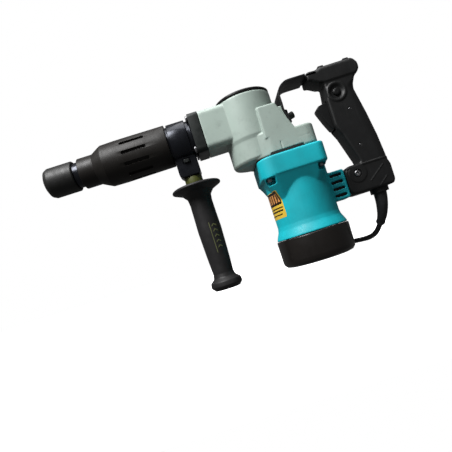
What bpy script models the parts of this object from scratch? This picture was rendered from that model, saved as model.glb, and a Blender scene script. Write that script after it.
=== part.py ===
"""Electric demolition hammer: barrel along X with its nose at -X, motor standing along Z, D-handle at +X.

The origin is on the motor axis at the flat bottom of the rear cover. Lengths are in millimetres
in this file and are turned into metres when a mesh is made.
"""

import math

import bmesh
import bpy
from mathutils import Matrix, Vector

MM = 0.001

# Driving dimensions
BARREL_Z = 209.0
BARREL_R = 24.6
SLEEVE_R = 28.4
NECK_HALF = 27.0
CRANK_X = -38.25
CRANK_R = 38.5
CHAMBER_R = 35.3
CRANK_TOP = 235.5
CAP_R = 38.3
THROW = 12.0
ROD_LENGTH = 62.0
GEAR_MODULE = 1.5
PINION_TEETH = 7
GEAR_TEETH = 44
MOTOR_R = 42.8
FLARE_R = 48.6
COVER_R = 49.8
SEAM_Z = 38.3
FLANGE_LOW = 119.5
FLANGE_TOP = 145.5
HOUSING_BOTTOM = 146.8
GRIP_X = -132.5
HANDLE_HALF = 17.0
HEX_FLATS = 17.5
GAP = 0.3

UP_X = Vector((1, 0, 0))
UP_Z = Vector((0, 0, 1))
NEAR_Y = Vector((0, -1, 0))
FAR_Y = Vector((0, 1, 0))


# Scene, materials and basic shapes

for old in list(bpy.data.objects):
    bpy.data.objects.remove(old, do_unlink=True)


def material(name, colour, roughness, metallic=0.0):
    made = bpy.data.materials.new(name)
    made.use_nodes = True
    shader = made.node_tree.nodes["Principled BSDF"]
    shader.inputs["Base Color"].default_value = (*colour, 1.0)
    shader.inputs["Roughness"].default_value = roughness
    shader.inputs["Metallic"].default_value = metallic
    return made


BLACK_PLASTIC = material("black_plastic", (0.02, 0.02, 0.021), 0.35)
GLOSS_BLACK = material("gloss_black", (0.012, 0.012, 0.014), 0.15)
BLACK_STEEL = material("black_steel", (0.03, 0.032, 0.036), 0.25, 0.8)
BRIGHT_STEEL = material("bright_steel", (0.6, 0.6, 0.61), 0.25, 1.0)
TEAL_PLASTIC = material("teal_plastic", (0.01, 0.35, 0.38), 0.4)
SAGE_PAINT = material("sage_paint", (0.36, 0.42, 0.39), 0.45)
OLIVE_PLASTIC = material("olive_plastic", (0.10, 0.11, 0.01), 0.5)
RUBBER = material("grey_rubber", (0.04, 0.04, 0.042), 0.6)
COPPER = material("copper_winding", (0.55, 0.22, 0.09), 0.35, 1.0)
LAMINATION = material("lamination_steel", (0.25, 0.25, 0.26), 0.45, 0.9)
CARBON = material("carbon", (0.03, 0.03, 0.03), 0.7)
BRASS = material("brass", (0.6, 0.42, 0.12), 0.3, 1.0)
FIBRE = material("gasket_fibre", (0.015, 0.015, 0.015), 0.8)


def add_object(name, points, faces, paint, smooth=True):
    """A mesh object whose origin is the world origin, from points in millimetres."""
    mesh = bpy.data.meshes.new(name)
    mesh.from_pydata([[c * MM for c in p] for p in points], [], faces)
    solid = bmesh.new()
    solid.from_mesh(mesh)
    bmesh.ops.recalc_face_normals(solid, faces=solid.faces)
    solid.to_mesh(mesh)
    solid.free()
    mesh.update()
    made = bpy.data.objects.new(name, mesh)
    bpy.context.scene.collection.objects.link(made)
    if paint:
        mesh.materials.append(paint)
    if smooth:
        mesh.polygons.foreach_set("use_smooth", [True] * len(mesh.polygons))
        mesh.set_sharp_from_angle(angle=math.radians(32))
    return made


def signed_area(outline):
    pairs = zip(outline, outline[1:] + outline[:1])
    return 0.5 * sum(a[0] * b[1] - b[0] * a[1] for a, b in pairs)


def turned(name, profile, centre, direction, paint=None, steps=32):
    """A solid of revolution. The profile is a closed outline of (radius, distance along direction)."""
    outline = list(profile)
    if signed_area(outline) < 0:
        outline.reverse()
    points = []
    rings = []
    for radius, along in outline:
        count = steps if radius > 0 else 1
        rings.append(range(len(points), len(points) + count))
        for k in range(count):
            angle = 2 * math.pi * k / steps
            points.append((radius * math.cos(angle), radius * math.sin(angle), along))
    faces = []
    for first, second in zip(rings, rings[1:] + rings[:1]):
        if len(first) == 1 and len(second) == 1:
            continue
        for k in range(steps):
            nxt = (k + 1) % steps
            if len(first) == 1:
                faces.append((first[0], second[nxt], second[k]))
            elif len(second) == 1:
                faces.append((first[k], first[nxt], second[0]))
            else:
                faces.append((first[k], first[nxt], second[nxt], second[k]))
    made = add_object(name, points, faces, paint)
    made.location = Vector(centre) * MM
    made.rotation_euler = UP_Z.rotation_difference(Vector(direction)).to_euler()
    return made


def extruded(name, outline, low, high, paint=None, axis="Z", centre=(0, 0, 0), smooth=False):
    """An outline pushed along an axis: (x, y) outlines for Z, (x, z) for Y and (y, z) for X."""
    ring = list(outline)
    if signed_area(ring) < 0:
        ring.reverse()
    count = len(ring)
    points = []
    for level in (low, high):
        for a, b in ring:
            spot = {"Z": (a, b, level), "Y": (a, level, b), "X": (level, a, b)}[axis]
            points.append(spot)
    bottom = tuple(range(count - 1, -1, -1))
    top = tuple(range(count, 2 * count))
    faces = [bottom, top]
    for k in range(count):
        nxt = (k + 1) % count
        faces.append((k, nxt, count + nxt, count + k))
    made = add_object(name, points, faces, paint, smooth)
    made.location = Vector(centre) * MM
    return made


def lofted(name, levels, axis="Z"):
    """A solid through outlines that have the same number of points; each level is (distance, outline)."""
    levels = sorted(levels, key=lambda level: level[0])
    count = len(levels[0][1])
    points = []
    faces = []
    for along, outline in levels:
        for a, b in outline:
            points.append((a, b, along) if axis == "Z" else (a, along, b))
    for first in range(0, count * (len(levels) - 1), count):
        for k in range(count):
            nxt = (k + 1) % count
            faces.append((first + k, first + nxt, first + count + nxt, first + count + k))
    faces.append(tuple(range(count - 1, -1, -1)))
    faces.append(tuple(range(len(points) - count, len(points))))
    return add_object(name, points, faces, None)


def inset_outline(outline, distance, fixed_x=None):
    """The outline moved inwards by a distance, except for an edge that stands at fixed_x."""
    moved = []
    turn = 1 if signed_area(outline) > 0 else -1
    count = len(outline)
    for k in range(count):
        corners = [Vector(outline[(k + step) % count]) for step in (-1, 0, 1)]
        lines = []
        for start, end in zip(corners, corners[1:]):
            along = (end - start).normalized()
            inward = Vector((-along.y, along.x)) * turn
            flat = fixed_x is not None and start.x == end.x == fixed_x
            lines.append((start + inward * (0 if flat else distance), along))
        (first, way), (second, other) = lines
        cross = way.x * other.y - way.y * other.x
        gap = second - first
        reach = (gap.x * other.y - gap.y * other.x) / cross if abs(cross) > 1e-6 else gap.dot(way)
        moved.append(tuple(first + way * reach))
    return moved


def box(name, x, y, z, paint=None):
    """A block between two limits along each axis, with its origin at its middle."""
    middle = [(a + b) / 2 for a, b in (x, y, z)]
    half = [(b - a) / 2 for a, b in (x, y, z)]
    outline = [(-half[0], -half[1]), (half[0], -half[1]), (half[0], half[1]), (-half[0], half[1])]
    return extruded(name, outline, -half[2], half[2], paint, "Z", middle)


def rounded_rectangle(x, y, radius, steps=4):
    """The outline of a rectangle with round corners."""
    outline = []
    corners = ((x[1], y[1], 0), (x[0], y[1], 90), (x[0], y[0], 180), (x[1], y[0], 270))
    for corner_x, corner_y, start in corners:
        inset_x = corner_x - math.copysign(radius, corner_x - (x[0] + x[1]) / 2)
        inset_y = corner_y - math.copysign(radius, corner_y - (y[0] + y[1]) / 2)
        for k in range(steps + 1):
            angle = math.radians(start + 90 * k / steps)
            outline.append((inset_x + radius * math.cos(angle), inset_y + radius * math.sin(angle)))
    return outline


def rod(name, radius, start, end, centre, direction, paint=None, steps=24):
    profile = [(0, start), (radius, start), (radius, end), (0, end)]
    return turned(name, profile, centre, direction, paint, steps)


def hidden_tool(tool):
    tool.hide_render = True
    tool.display_type = "WIRE"


def combine(target, tool, operation):
    change = target.modifiers.new(f"{operation.lower()}_{tool.name}", "BOOLEAN")
    change.operation = operation
    change.object = tool
    change.solver = "EXACT"
    hidden_tool(tool)
    weld = target.modifiers.new(f"weld_{tool.name}", "WELD")
    weld.merge_threshold = 0.01 * MM


def cut(target, *tools):
    for tool in tools:
        combine(target, tool, "DIFFERENCE")


def join(target, *tools):
    for tool in tools:
        combine(target, tool, "UNION")


def soften(target, width, steps=2, degrees=40):
    change = target.modifiers.new("edges", "BEVEL")
    change.width = width * MM
    change.segments = steps
    change.limit_method = "ANGLE"
    change.angle_limit = math.radians(degrees)
    change.harden_normals = False


def barrel_part(name, profile, paint=None, steps=24):
    """A piece turned about the barrel axis, with its profile given as (radius, x)."""
    return turned(name, profile, (0, 0, BARREL_Z), UP_X, paint, steps)


def ring_profile(inner, outer, low, high):
    return [(inner, low), (outer, low), (outer, high), (inner, high)]


# Nose: sliding retaining ring, its spring, the roller and the tool holder

NOSE_FRONT = -325.0
NOSE_REAR = -283.5

barrel_part(
    "nose_ring",
    [
        (11.0, NOSE_FRONT + 1.0),
        (12.0, NOSE_FRONT),
        (14.0, NOSE_FRONT),
        (18.4, NOSE_FRONT + 2.2),
        (20.7, NOSE_FRONT + 7.0),
        (20.7, NOSE_REAR - 1.2),
        (19.5, NOSE_REAR),
        (17.6, NOSE_REAR),
        (17.6, -306.5),
        (15.4, -306.5),
        (15.4, -314.5),
        (17.6, -314.5),
        (17.6, -322.1),
        (11.0, -322.1),
    ],
    RUBBER,
    24,
)

tool_holder = barrel_part(
    "tool_holder",
    [
        (0.0, -315.5),
        (14.0, -315.5),
        (15.0, -314.5),
        (15.0, -287.6),
        (17.2, -287.6),
        (17.2, -270.0),
        (16.4, -270.0),
        (16.4, -206.2),
        (0.0, -206.2),
    ],
    BLACK_STEEL,
)
hex_points = [
    (
        HEX_FLATS / math.sqrt(3) * math.cos(math.radians(60 * k)),
        BARREL_Z + HEX_FLATS / math.sqrt(3) * math.sin(math.radians(60 * k)),
    )
    for k in range(6)
]
cut(
    tool_holder,
    extruded("cut_tool_hexagon", hex_points, -320, -255, axis="X"),
    barrel_part("cut_shank_bore", [(0, -256), (6.8, -256), (6.8, -226), (0, -226)], steps=24),
    barrel_part("cut_striker_chamber", [(0, -230), (11.3, -230), (11.3, -200), (0, -200)]),
    box("cut_roller_slot", (-313.4, -308.4), (-4.1, 4.1), (BARREL_Z + 9.0, BARREL_Z + 18.0)),
)
rod(
    "retainer_roller", 2.2, -3.7, 3.7, (-310.9, 0, BARREL_Z + 12.7), FAR_Y, BRIGHT_STEEL, 16
)


def helix(name, turns, wire, radius, start, end, centre, direction, paint, per_turn=8):
    """An open coil spring as a round wire along a helix about the direction."""
    turn = UP_Z.rotation_difference(Vector(direction)).to_matrix()
    shape = bpy.data.curves.new(name, "CURVE")
    shape.dimensions = "3D"
    shape.bevel_depth = wire / 2 * MM
    shape.bevel_resolution = 0
    shape.use_fill_caps = True
    shape.materials.append(paint)
    count = int(turns * per_turn) + 1
    line = shape.splines.new("POLY")
    line.points.add(count - 1)
    for k in range(count):
        share = k / (count - 1)
        angle = 2 * math.pi * turns * share
        along = start + (end - start) * share
        spot = turn @ Vector((radius * math.cos(angle), radius * math.sin(angle), along))
        line.points[k].co = (*(spot * MM), 1.0)
    made = bpy.data.objects.new(name, shape)
    bpy.context.scene.collection.objects.link(made)
    made.location = Vector(centre) * MM
    return made


helix("nose_spring", 4.5, 1.2, 16.3, -305.3, -288.9, (0, 0, BARREL_Z), UP_X, BRIGHT_STEEL, 12)


# Barrel, its plastic sleeve and the flange that bolts to the crank housing

SLOT_COUNT = 12
SLOT_TURN = math.radians(-5)

sleeve = barrel_part(
    "barrel_sleeve",
    [
        (18.3, -275.0),
        (20.9, -275.0),
        (20.9, -254.0),
        (26.5, -243.5),
        (SLEEVE_R, -239.5),
        (29.0, -220.0),
        (SLEEVE_R, -160.0),
        (SLEEVE_R, -150.0),
        (24.9, -150.0),
        (24.9, -238.0),
        (18.3, -249.0),
    ],
    BLACK_PLASTIC,
    32,
)
for k in range(SLOT_COUNT):
    angle = SLOT_TURN + 2 * math.pi * k / SLOT_COUNT
    slot = box(f"cut_sleeve_slot_{k + 1}", (-212, -178), (-2.4, 2.4), (26.3, 33.0))
    slot.matrix_world = (
        Matrix.Translation((0, 0, BARREL_Z * MM)) @ Matrix.Rotation(angle, 4, "X") @ slot.matrix_basis
    )
    cut(sleeve, slot)

FLANGE_FRONT = -115.8
FLANGE_REAR = -101.6

barrel = barrel_part(
    "barrel",
    [
        (16.7, -268.0),
        (18.0, -268.0),
        (18.0, -248.6),
        (BARREL_R, -237.0),
        (BARREL_R, -108.0),
        (20.3, -108.0),
        (20.3, -205.6),
        (16.7, -205.6),
    ],
    BLACK_STEEL,
)
flange = extruded(
    "barrel_flange",
    rounded_rectangle(
        (-NECK_HALF, NECK_HALF), (BARREL_Z - NECK_HALF, BARREL_Z + NECK_HALF), 6.0, 3
    ),
    FLANGE_FRONT,
    FLANGE_REAR,
    axis="X",
)
join(barrel, flange)
cut(barrel, barrel_part("cut_barrel_bore", [(0, -120), (20.3, -120), (20.3, -95), (0, -95)]))

BOLT_OFFSET = 20.6
bolt_places = [(-1, 1), (1, 1), (1, -1), (-1, -1)]
for number, (side, level) in enumerate(bolt_places, 1):
    spot = (0, side * BOLT_OFFSET, BARREL_Z + level * BOLT_OFFSET)
    turned(
        f"barrel_bolt_{number}",
        [
            (0, -118.9),
            (3.9, -118.9),
            (4.4, -118.4),
            (4.4, -116.1),
            (2.4, -116.1),
            (2.4, -88.0),
            (0, -88.0),
        ],
        spot,
        UP_X,
        BLACK_STEEL,
        10,
    )
    cut(barrel, rod(f"cut_flange_hole_{number}", 2.8, -125, -95, spot, UP_X, steps=10))


# Cylinder, striker, ram, piston and connecting rod

barrel_part(
    "cylinder",
    [
        (8.4, -205.2),
        (20.0, -205.2),
        (20.0, -80.0),
        (17.0, -80.0),
        (17.0, -202.7),
        (8.4, -202.7),
    ],
    BRIGHT_STEEL,
)
barrel_part(
    "striker",
    [
        (0, -248.0),
        (5.6, -248.0),
        (6.5, -246.8),
        (6.5, -224.6),
        (11.0, -223.4),
        (11.0, -211.8),
        (8.0, -210.6),
        (8.0, -203.6),
        (7.2, -202.4),
        (0, -202.4),
    ],
    BRIGHT_STEEL,
    24,
)
barrel_part(
    "ram",
    [
        (0, -187.5),
        (9.4, -187.5),
        (9.4, -184.5),
        (16.7, -182.5),
        (16.7, -148.0),
        (15.6, -146.5),
        (0, -146.5),
    ],
    BRIGHT_STEEL,
)

PIN_X = CRANK_X - THROW
WRIST_X = PIN_X - ROD_LENGTH

piston = barrel_part(
    "piston",
    [
        (0, -127.0),
        (15.8, -127.0),
        (16.7, -126.0),
        (16.7, -103.0),
        (0, -103.0),
    ],
    BRIGHT_STEEL,
)
cut(
    piston,
    box("cut_rod_slot", (-121.5, -100), (-9.6, 9.6), (BARREL_Z - 5.4, BARREL_Z + 5.4)),
    rod("cut_wrist_hole", 4.05, -20, 20, (WRIST_X, 0, BARREL_Z), UP_Z, steps=24),
)
rod("wrist_pin", 3.9, -13.6, 13.6, (WRIST_X, 0, BARREL_Z), UP_Z, BRIGHT_STEEL)

con_rod = extruded(
    "connecting_rod",
    [(-1, -4.6), (ROD_LENGTH + 1, -5.4), (ROD_LENGTH + 1, 5.4), (-1, 4.6)],
    -4.6,
    4.6,
    BRIGHT_STEEL,
    "Z",
    (WRIST_X, 0, BARREL_Z),
)
join(
    con_rod,
    rod("rod_small_end", 8.4, -5.0, 5.0, (WRIST_X, 0, BARREL_Z), UP_Z),
    rod("rod_big_end", 10.8, -6.0, 6.0, (PIN_X, 0, BARREL_Z), UP_Z),
)
cut(
    con_rod,
    rod("cut_small_eye", 4.15, -10, 10, (WRIST_X, 0, BARREL_Z), UP_Z),
    rod("cut_big_eye", 6.15, -10, 10, (PIN_X, 0, BARREL_Z), UP_Z),
)
rod("crank_pin", 6.0, -6.6, 7.4, (PIN_X, 0, BARREL_Z), UP_Z, BRIGHT_STEEL)


# Crankshaft, its bearings and the reduction gear

DISC_TOP = 202.0
GEAR_LOW = 160.0
GEAR_HIGH = 172.0

turned(
    "crankshaft",
    [
        (0, 151.6),
        (5.3, 151.6),
        (5.3, 159.5),
        (8.4, 159.5),
        (8.4, 190.5),
        (13.0, 190.5),
        (13.0, 192.0),
        (22.0, 193.0),
        (22.0, DISC_TOP - 1),
        (21.0, DISC_TOP),
        (0, DISC_TOP),
    ],
    (CRANK_X, 0, 0),
    UP_Z,
    BRIGHT_STEEL,
    24,
)


def bearing(name, inner, outer, low, high, centre, steps=20):
    """A shielded ball bearing, as one ring."""
    return turned(name, ring_profile(inner, outer, low, high), centre, UP_Z, BRIGHT_STEEL, steps)


bearing("crank_bearing_upper", 8.65, 17.4, 179.0, 188.0, (CRANK_X, 0, 0))
turned(
    "bearing_retainer",
    [
        (12.5, 176.5),
        (CHAMBER_R - GAP, 176.5),
        (CHAMBER_R - GAP, 186.0),
        (17.75, 186.0),
        (17.75, 178.6),
        (12.5, 178.6),
    ],
    (CRANK_X, 0, 0),
    UP_Z,
    LAMINATION,
    24,
)


def tooth_outline(teeth, centre_angle, root, tip, root_share, tip_share):
    """A gear outline with straight-sided teeth; the shares are of one tooth pitch."""
    outline = []
    pitch = 2 * math.pi / teeth
    for k in range(teeth):
        middle = centre_angle + k * pitch
        for radius, share in ((root, -root_share), (tip, -tip_share), (tip, tip_share), (root, root_share)):
            angle = middle + share * pitch / 2
            outline.append((radius * math.cos(angle), radius * math.sin(angle)))
    return outline


GEAR_PITCH_R = GEAR_MODULE * GEAR_TEETH / 2
PINION_PITCH_R = GEAR_MODULE * PINION_TEETH / 2
gear = extruded(
    "crank_gear",
    tooth_outline(
        GEAR_TEETH, math.pi / GEAR_TEETH, GEAR_PITCH_R - 1.9, GEAR_PITCH_R + 1.15, 0.60, 0.24
    ),
    GEAR_LOW,
    GEAR_HIGH,
    BRIGHT_STEEL,
    "Z",
    (CRANK_X, 0, 0),
)
cut(gear, rod("cut_gear_bore", 8.6, 150, 180, (CRANK_X, 0, 0), UP_Z))


# Crank housing: one painted casting with the gear case at its foot and the strap's block behind

housing = turned(
    "crank_housing",
    [
        (0, 151.0),
        (25.0, 151.0),
        (33.0, 153.2),
        (37.2, 157.6),
        (37.2, 176.0),
        (CRANK_R, 181.0),
        (CRANK_R, CRANK_TOP - 0.8),
        (CRANK_R - 0.8, CRANK_TOP),
        (0, CRANK_TOP),
    ],
    (CRANK_X, 0, 0),
    UP_Z,
    SAGE_PAINT,
    32,
)
neck_outline = rounded_rectangle(
    (-NECK_HALF, NECK_HALF), (BARREL_Z - NECK_HALF, BARREL_Z + NECK_HALF - 0.5), 7.0
)
case_outline = [
    (-58.0, -26.0),
    (-54.0, -34.2),
    (-44.0, -40.2),
    (-24.0, -42.0),
    (24.0, -42.0),
    (32.0, -39.5),
    (36.0, -32.0),
    (36.0, 32.0),
    (32.0, 39.5),
    (24.0, 42.0),
    (-24.0, 42.0),
    (-44.0, 40.2),
    (-54.0, 34.2),
    (-58.0, 26.0),
]
gear_case = extruded("gear_case", case_outline, HOUSING_BOTTOM, 173.0)
soften(gear_case, 2.5, 2, 60)
shoulder = extruded(
    "case_shoulder",
    [(-52.0, 170.0), (10.0, 170.0), (4.0, 178.8), (-46.0, 178.8), (-50.0, 177.0)],
    -40.2,
    40.2,
    axis="Y",
)
block = extruded(
    "strap_block",
    [(-29.8, 168.0), (12.6, 168.0), (9.8, 176.0), (-4.0, 209.0), (-5.5, 210.3), (-28.4, 210.3)],
    -41.8,
    41.8,
    axis="Y",
)
soften(block, 1.6, 2, 60)
pad = extruded(
    "strap_pad",
    [(-20.0, 180.0), (13.1, 180.0), (12.0, 184.2), (7.2, 203.0), (7.2, 209.5), (-20.0, 209.5)],
    -21.5,
    21.5,
    axis="Y",
)
join(
    housing,
    extruded("neck", neck_outline, FLANGE_REAR + GAP, -50.0, axis="X"),
    gear_case,
    shoulder,
    block,
    pad,
)
cut(
    housing,
    rod("cut_chamber", CHAMBER_R, 158.0, 240.0, (CRANK_X, 0, 0), UP_Z, steps=32),
    barrel_part("cut_neck_bore", [(0, -110), (20.3, -110), (20.3, -55), (0, -55)]),
    rod("cut_pinion_room", 8.6, 140.0, 176.0, (0, 0, 0), UP_Z, steps=24),
    rod("cut_lower_seat", 5.6, 151.2, 170.0, (CRANK_X, 0, 0), UP_Z, steps=32),
    box("cut_gasket_window", (-28.0, 16.0), (-45.0, -38.6), (144.0, 149.9)),
)
for number, (side, level) in enumerate(bolt_places, 1):
    spot = (0, side * BOLT_OFFSET, BARREL_Z + level * BOLT_OFFSET)
    cut(housing, rod(f"cut_neck_thread_{number}", 2.7, -110, -86, spot, UP_X, steps=10))

turned(
    "crank_cap",
    [
        (0, CRANK_TOP - 5),
        (CHAMBER_R - GAP, CRANK_TOP - 5),
        (CHAMBER_R - GAP, CRANK_TOP + 0.4),
        (CAP_R, CRANK_TOP + 0.4),
        (CAP_R, CRANK_TOP + 3.2),
        (CAP_R - 2.2, CRANK_TOP + 4.8),
        (0, CRANK_TOP + 5.0),
    ],
    (CRANK_X, 0, 0),
    UP_Z,
    GLOSS_BLACK,
    32,
)


# Motor housing with its square flange, bearing seat, fan room and handle bracket

MOTOR_FLANGE_X = (-48.2, 39.2)
MOTOR_FLANGE_Y = 49.0
TAPER_LOW = 84.0
TAPER_INSET = 17.5

motor = turned(
    "motor_housing",
    [
        (0, SEAM_Z),
        (FLARE_R, SEAM_Z),
        (FLARE_R, SEAM_Z + 1.5),
        (46.8, SEAM_Z + 6.0),
        (43.8, SEAM_Z + 12.5),
        (MOTOR_R, SEAM_Z + 18.0),
        (MOTOR_R, 124.0),
        (0, 124.0),
    ],
    (0, 0, 0),
    UP_Z,
    TEAL_PLASTIC,
    32,
)


def flange_outline(inset_x, inset_y, barrel_end, handle_end):
    """The motor flange's outline, with one corner radius at the barrel's end and one at the handle's."""
    x = (MOTOR_FLANGE_X[0] + inset_x, MOTOR_FLANGE_X[1] - inset_x)
    y = (inset_y - MOTOR_FLANGE_Y, MOTOR_FLANGE_Y - inset_y)
    handle_corners = rounded_rectangle(x, y, handle_end, 4)
    barrel_corners = rounded_rectangle(x, y, barrel_end, 4)
    return handle_corners[:5] + barrel_corners[5:15] + handle_corners[15:]


motor_flange = extruded("motor_flange", flange_outline(0, 0, 20.0, 11.0), FLANGE_LOW, FLANGE_TOP)
soften(motor_flange, 2.2, 2, 60)
taper_top = flange_outline(4.0, 0.8, 17.0, 9.0)
taper_foot = flange_outline(TAPER_INSET, TAPER_INSET, 11.2, 11.2)
flange_taper = lofted("flange_taper", [(TAPER_LOW, taper_foot), (FLANGE_LOW + 1.0, taper_top)])
bracket = box("handle_bracket", (36.0, 62.2), (-13.5, 13.5), (67.4, 106.9))
soften(bracket, 1.5, 2, 60)
join(motor, motor_flange, flange_taper, bracket)

SCREW_PLACES = [(-38.4, -35.6), (29.4, -35.6), (29.4, 35.6), (-38.4, 35.6)]
cut(
    motor,
    rod("cut_stator_room", 39.6, 30.0, 106.0, (0, 0, 0), UP_Z, steps=32),
    rod("cut_fan_room", 36.6, 100.0, 131.0, (0, 0, 0), UP_Z, steps=32),
    rod("cut_upper_seat", 13.4, 125.0, 142.0, (0, 0, 0), UP_Z, steps=24),
    rod("cut_shaft_hole", 8.6, 135.0, 155.0, (0, 0, 0), UP_Z, steps=24),
    rod("cut_wire_duct", 5.0, 20.0, 70.0, (0, 0, 87.1), UP_X, steps=16),
)
for number, height in enumerate((73.4, 82.6, 91.8, 101.0), 1):
    for side_name, reach in (("near", (-20.0, -10.5)), ("far", (10.5, 20.0))):
        slot_z = (height - 1.9, height + 1.9)
        cut(motor, box(f"cut_bracket_slot_{side_name}_{number}", (41.8, 58.3), reach, slot_z))

gasket = extruded(
    "housing_gasket",
    rounded_rectangle((-47.4, 35.4), (-41.0, 41.0), 9.0, 3),
    FLANGE_TOP + 0.25,
    HOUSING_BOTTOM - 0.25,
    FIBRE,
)
join(gasket, box("gasket_tongue", (-27.5, 15.5), (-41.9, -39.0), (FLANGE_TOP + 0.4, 149.6)))
cut(gasket, rod("cut_gasket_hole", 9.5, 140, 160, (0, 0, 0), UP_Z, steps=24))

for number, (across, depth) in enumerate(SCREW_PLACES, 1):
    spot = (across, depth, 0)
    turned(
        f"motor_screw_{number}",
        [
            (0, 115.0),
            (3.6, 115.0),
            (4.2, 115.7),
            (4.2, 119.4),
            (2.2, 119.4),
            (2.2, 157.0),
            (0, 157.0),
        ],
        spot,
        UP_Z,
        BRIGHT_STEEL,
        10,
    )
    pocket = rod(f"cut_screw_pocket_{number}", 5.6, 100.0, 119.6, spot, UP_Z, steps=16)
    cut(motor, rod(f"cut_flange_screw_{number}", 2.5, 110, 155, spot, UP_Z, steps=10))
    cut(motor, pocket)
    cut(housing, rod(f"cut_housing_screw_{number}", 2.5, 145, 157.6, spot, UP_Z, steps=10))
    cut(gasket, rod(f"cut_gasket_screw_{number}", 2.7, 145, 157, spot, UP_Z, steps=10))


# Motor: armature with its pinion, fan, bearings, stator and brush gear

armature = turned(
    "armature",
    [
        (0, 6.0),
        (4.0, 6.0),
        (4.0, 16.0),
        (5.2, 16.0),
        (5.2, 27.0),
        (12.8, 27.0),
        (12.8, 42.0),
        (7.0, 43.0),
        (7.0, 47.0),
        (19.0, 49.5),
        (22.4, 57.0),
        (22.4, 98.0),
        (16.0, 107.0),
        (5.2, 109.0),
        (5.2, 158.0),
        (0, 158.0),
    ],
    (0, 0, 0),
    UP_Z,
    LAMINATION,
    20,
)
pinion = extruded(
    "pinion",
    tooth_outline(PINION_TEETH, math.pi, PINION_PITCH_R - 1.6, PINION_PITCH_R + 1.2, 0.62, 0.20),
    157.0,
    174.0,
)
join(armature, pinion)
bearing("armature_bearing_upper", 5.45, 13.1, 131.6, 141.4, (0, 0, 0))
bearing("armature_bearing_lower", 4.25, 11.0, 5.6, 12.6, (0, 0, 0))

FAN_LOW = 112.0
FAN_HIGH = 124.0
fan = turned(
    "fan",
    [
        (5.5, FAN_LOW),
        (10.0, FAN_LOW),
        (10.0, FAN_HIGH - 2),
        (34.8, FAN_HIGH - 2),
        (34.8, FAN_HIGH),
        (5.5, FAN_HIGH),
    ],
    (0, 0, 0),
    UP_Z,
    BLACK_PLASTIC,
    24,
)
for k in range(8):
    blade = box(f"fan_blade_{k + 1}", (9.0, 34.3), (-0.9, 0.9), (FAN_LOW, FAN_HIGH - 1))
    blade.matrix_world = Matrix.Rotation(math.pi * k / 4, 4, "Z") @ blade.matrix_basis
    join(fan, blade)

turned(
    "stator",
    [
        (23.2, 52.0),
        (34.0, 52.0),
        (39.2, 56.0),
        (39.2, 98.0),
        (34.0, 102.0),
        (23.2, 102.0),
    ],
    (0, 0, 0),
    UP_Z,
    COPPER,
    28,
)
for name, side in (("near", -1), ("far", 1)):
    reach = sorted((side * 18.0, side * 41.0))
    holder = box(f"brush_holder_{name}", (-6.0, 6.0), reach, (27.0, 37.6), BRASS)
    inside = sorted((side * 10.0, side * 36.0))
    cut(holder, box(f"cut_brush_holder_{name}", (-3.6, 3.6), inside, (28.7, 35.9)))
    brush = sorted((side * 13.2, side * 34.0))
    box(f"carbon_brush_{name}", (-3.3, 3.3), brush, (29.0, 35.6), CARBON)


# Rear cover under the motor, which the machine stands on

COVER_SLOTS = 16

cover = turned(
    "rear_cover",
    [
        (0, 0),
        (40.5, 0),
        (46.0, 1.4),
        (COVER_R - 0.8, 4.6),
        (COVER_R, 9.0),
        (COVER_R, SEAM_Z - 0.3),
        (46.2, SEAM_Z - 0.3),
        (46.2, 9.0),
        (42.0, 4.6),
        (13.6, 4.6),
        (13.6, 13.0),
        (11.2, 13.0),
        (11.2, 5.2),
        (0, 5.2),
    ],
    (0, 0, 0),
    UP_Z,
    GLOSS_BLACK,
    32,
)
for k in range(COVER_SLOTS):
    slot = box(f"cut_cover_slot_{k + 1}", (17.0, 29.5), (-1.3, 1.3), (-2.0, 8.0))
    angle = 2 * math.pi * (k + 0.5) / COVER_SLOTS
    slot.matrix_world = Matrix.Rotation(angle, 4, "Z") @ slot.matrix_basis
    cut(cover, slot)
for number, side in enumerate((-1, 1), 1):
    spot = (side * 35.5, 0, 0)
    turned(
        f"rear_cover_screw_{number}",
        [
            (0, 1.0),
            (3.4, 1.0),
            (3.9, 1.5),
            (3.9, 3.0),
            (1.9, 3.0),
            (1.9, 49.0),
            (0, 49.0),
        ],
        spot,
        UP_Z,
        BRIGHT_STEEL,
        10,
    )
    cut(
        cover,
        rod(f"cut_cover_head_{number}", 4.3, -2, 3.3, spot, UP_Z, steps=10),
        rod(f"cut_cover_screw_{number}", 2.3, 0, 20, spot, UP_Z, steps=10),
    )
    boss = rod(f"cover_boss_{number}", 4.6, SEAM_Z, 51.0, (side * 36.8, 0, 0), UP_Z, steps=16)
    join(motor, boss)
    cut(motor, rod(f"cut_boss_screw_{number}", 2.2, 35, 49.6, spot, UP_Z, steps=10))


# Handle: two shells, trigger, switch, lock button, strap and screws

HANDLE_FRONT = 62.5
HANDLE_OUTLINE = [
    (51.6, 244.3),
    (66.5, 243.5),
    (72.5, 245.7),
    (116.5, 245.7),
    (121.0, 242.2),
    (123.1, 237.5),
    (123.1, 228.6),
    (119.4, 224.0),
    (114.6, 220.6),
    (111.7, 214.4),
    (110.6, 204.9),
    (117.2, 169.6),
    (122.1, 136.5),
    (124.6, 109.0),
    (125.1, 94.0),
    (125.1, 73.0),
    (122.4, 67.8),
    (HANDLE_FRONT, 67.8),
    (HANDLE_FRONT, 106.9),
    (87.4, 106.9),
    (86.0, 114.0),
    (81.3, 129.8),
    (75.2, 150.2),
    (71.0, 159.2),
    (69.4, 164.4),
    (69.4, 199.0),
    (71.3, 214.4),
    (72.1, 223.0),
    (66.8, 224.2),
    (56.8, 229.9),
    (51.6, 230.3),
]
HANDLE_ROUND = 6.5
GRIP_ROOM = [(77.5, 153.0), (80.5, 147.0), (91.5, 108.0), (119.5, 108.0), (105.5, 200.0), (75.0, 200.0)]
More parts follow.
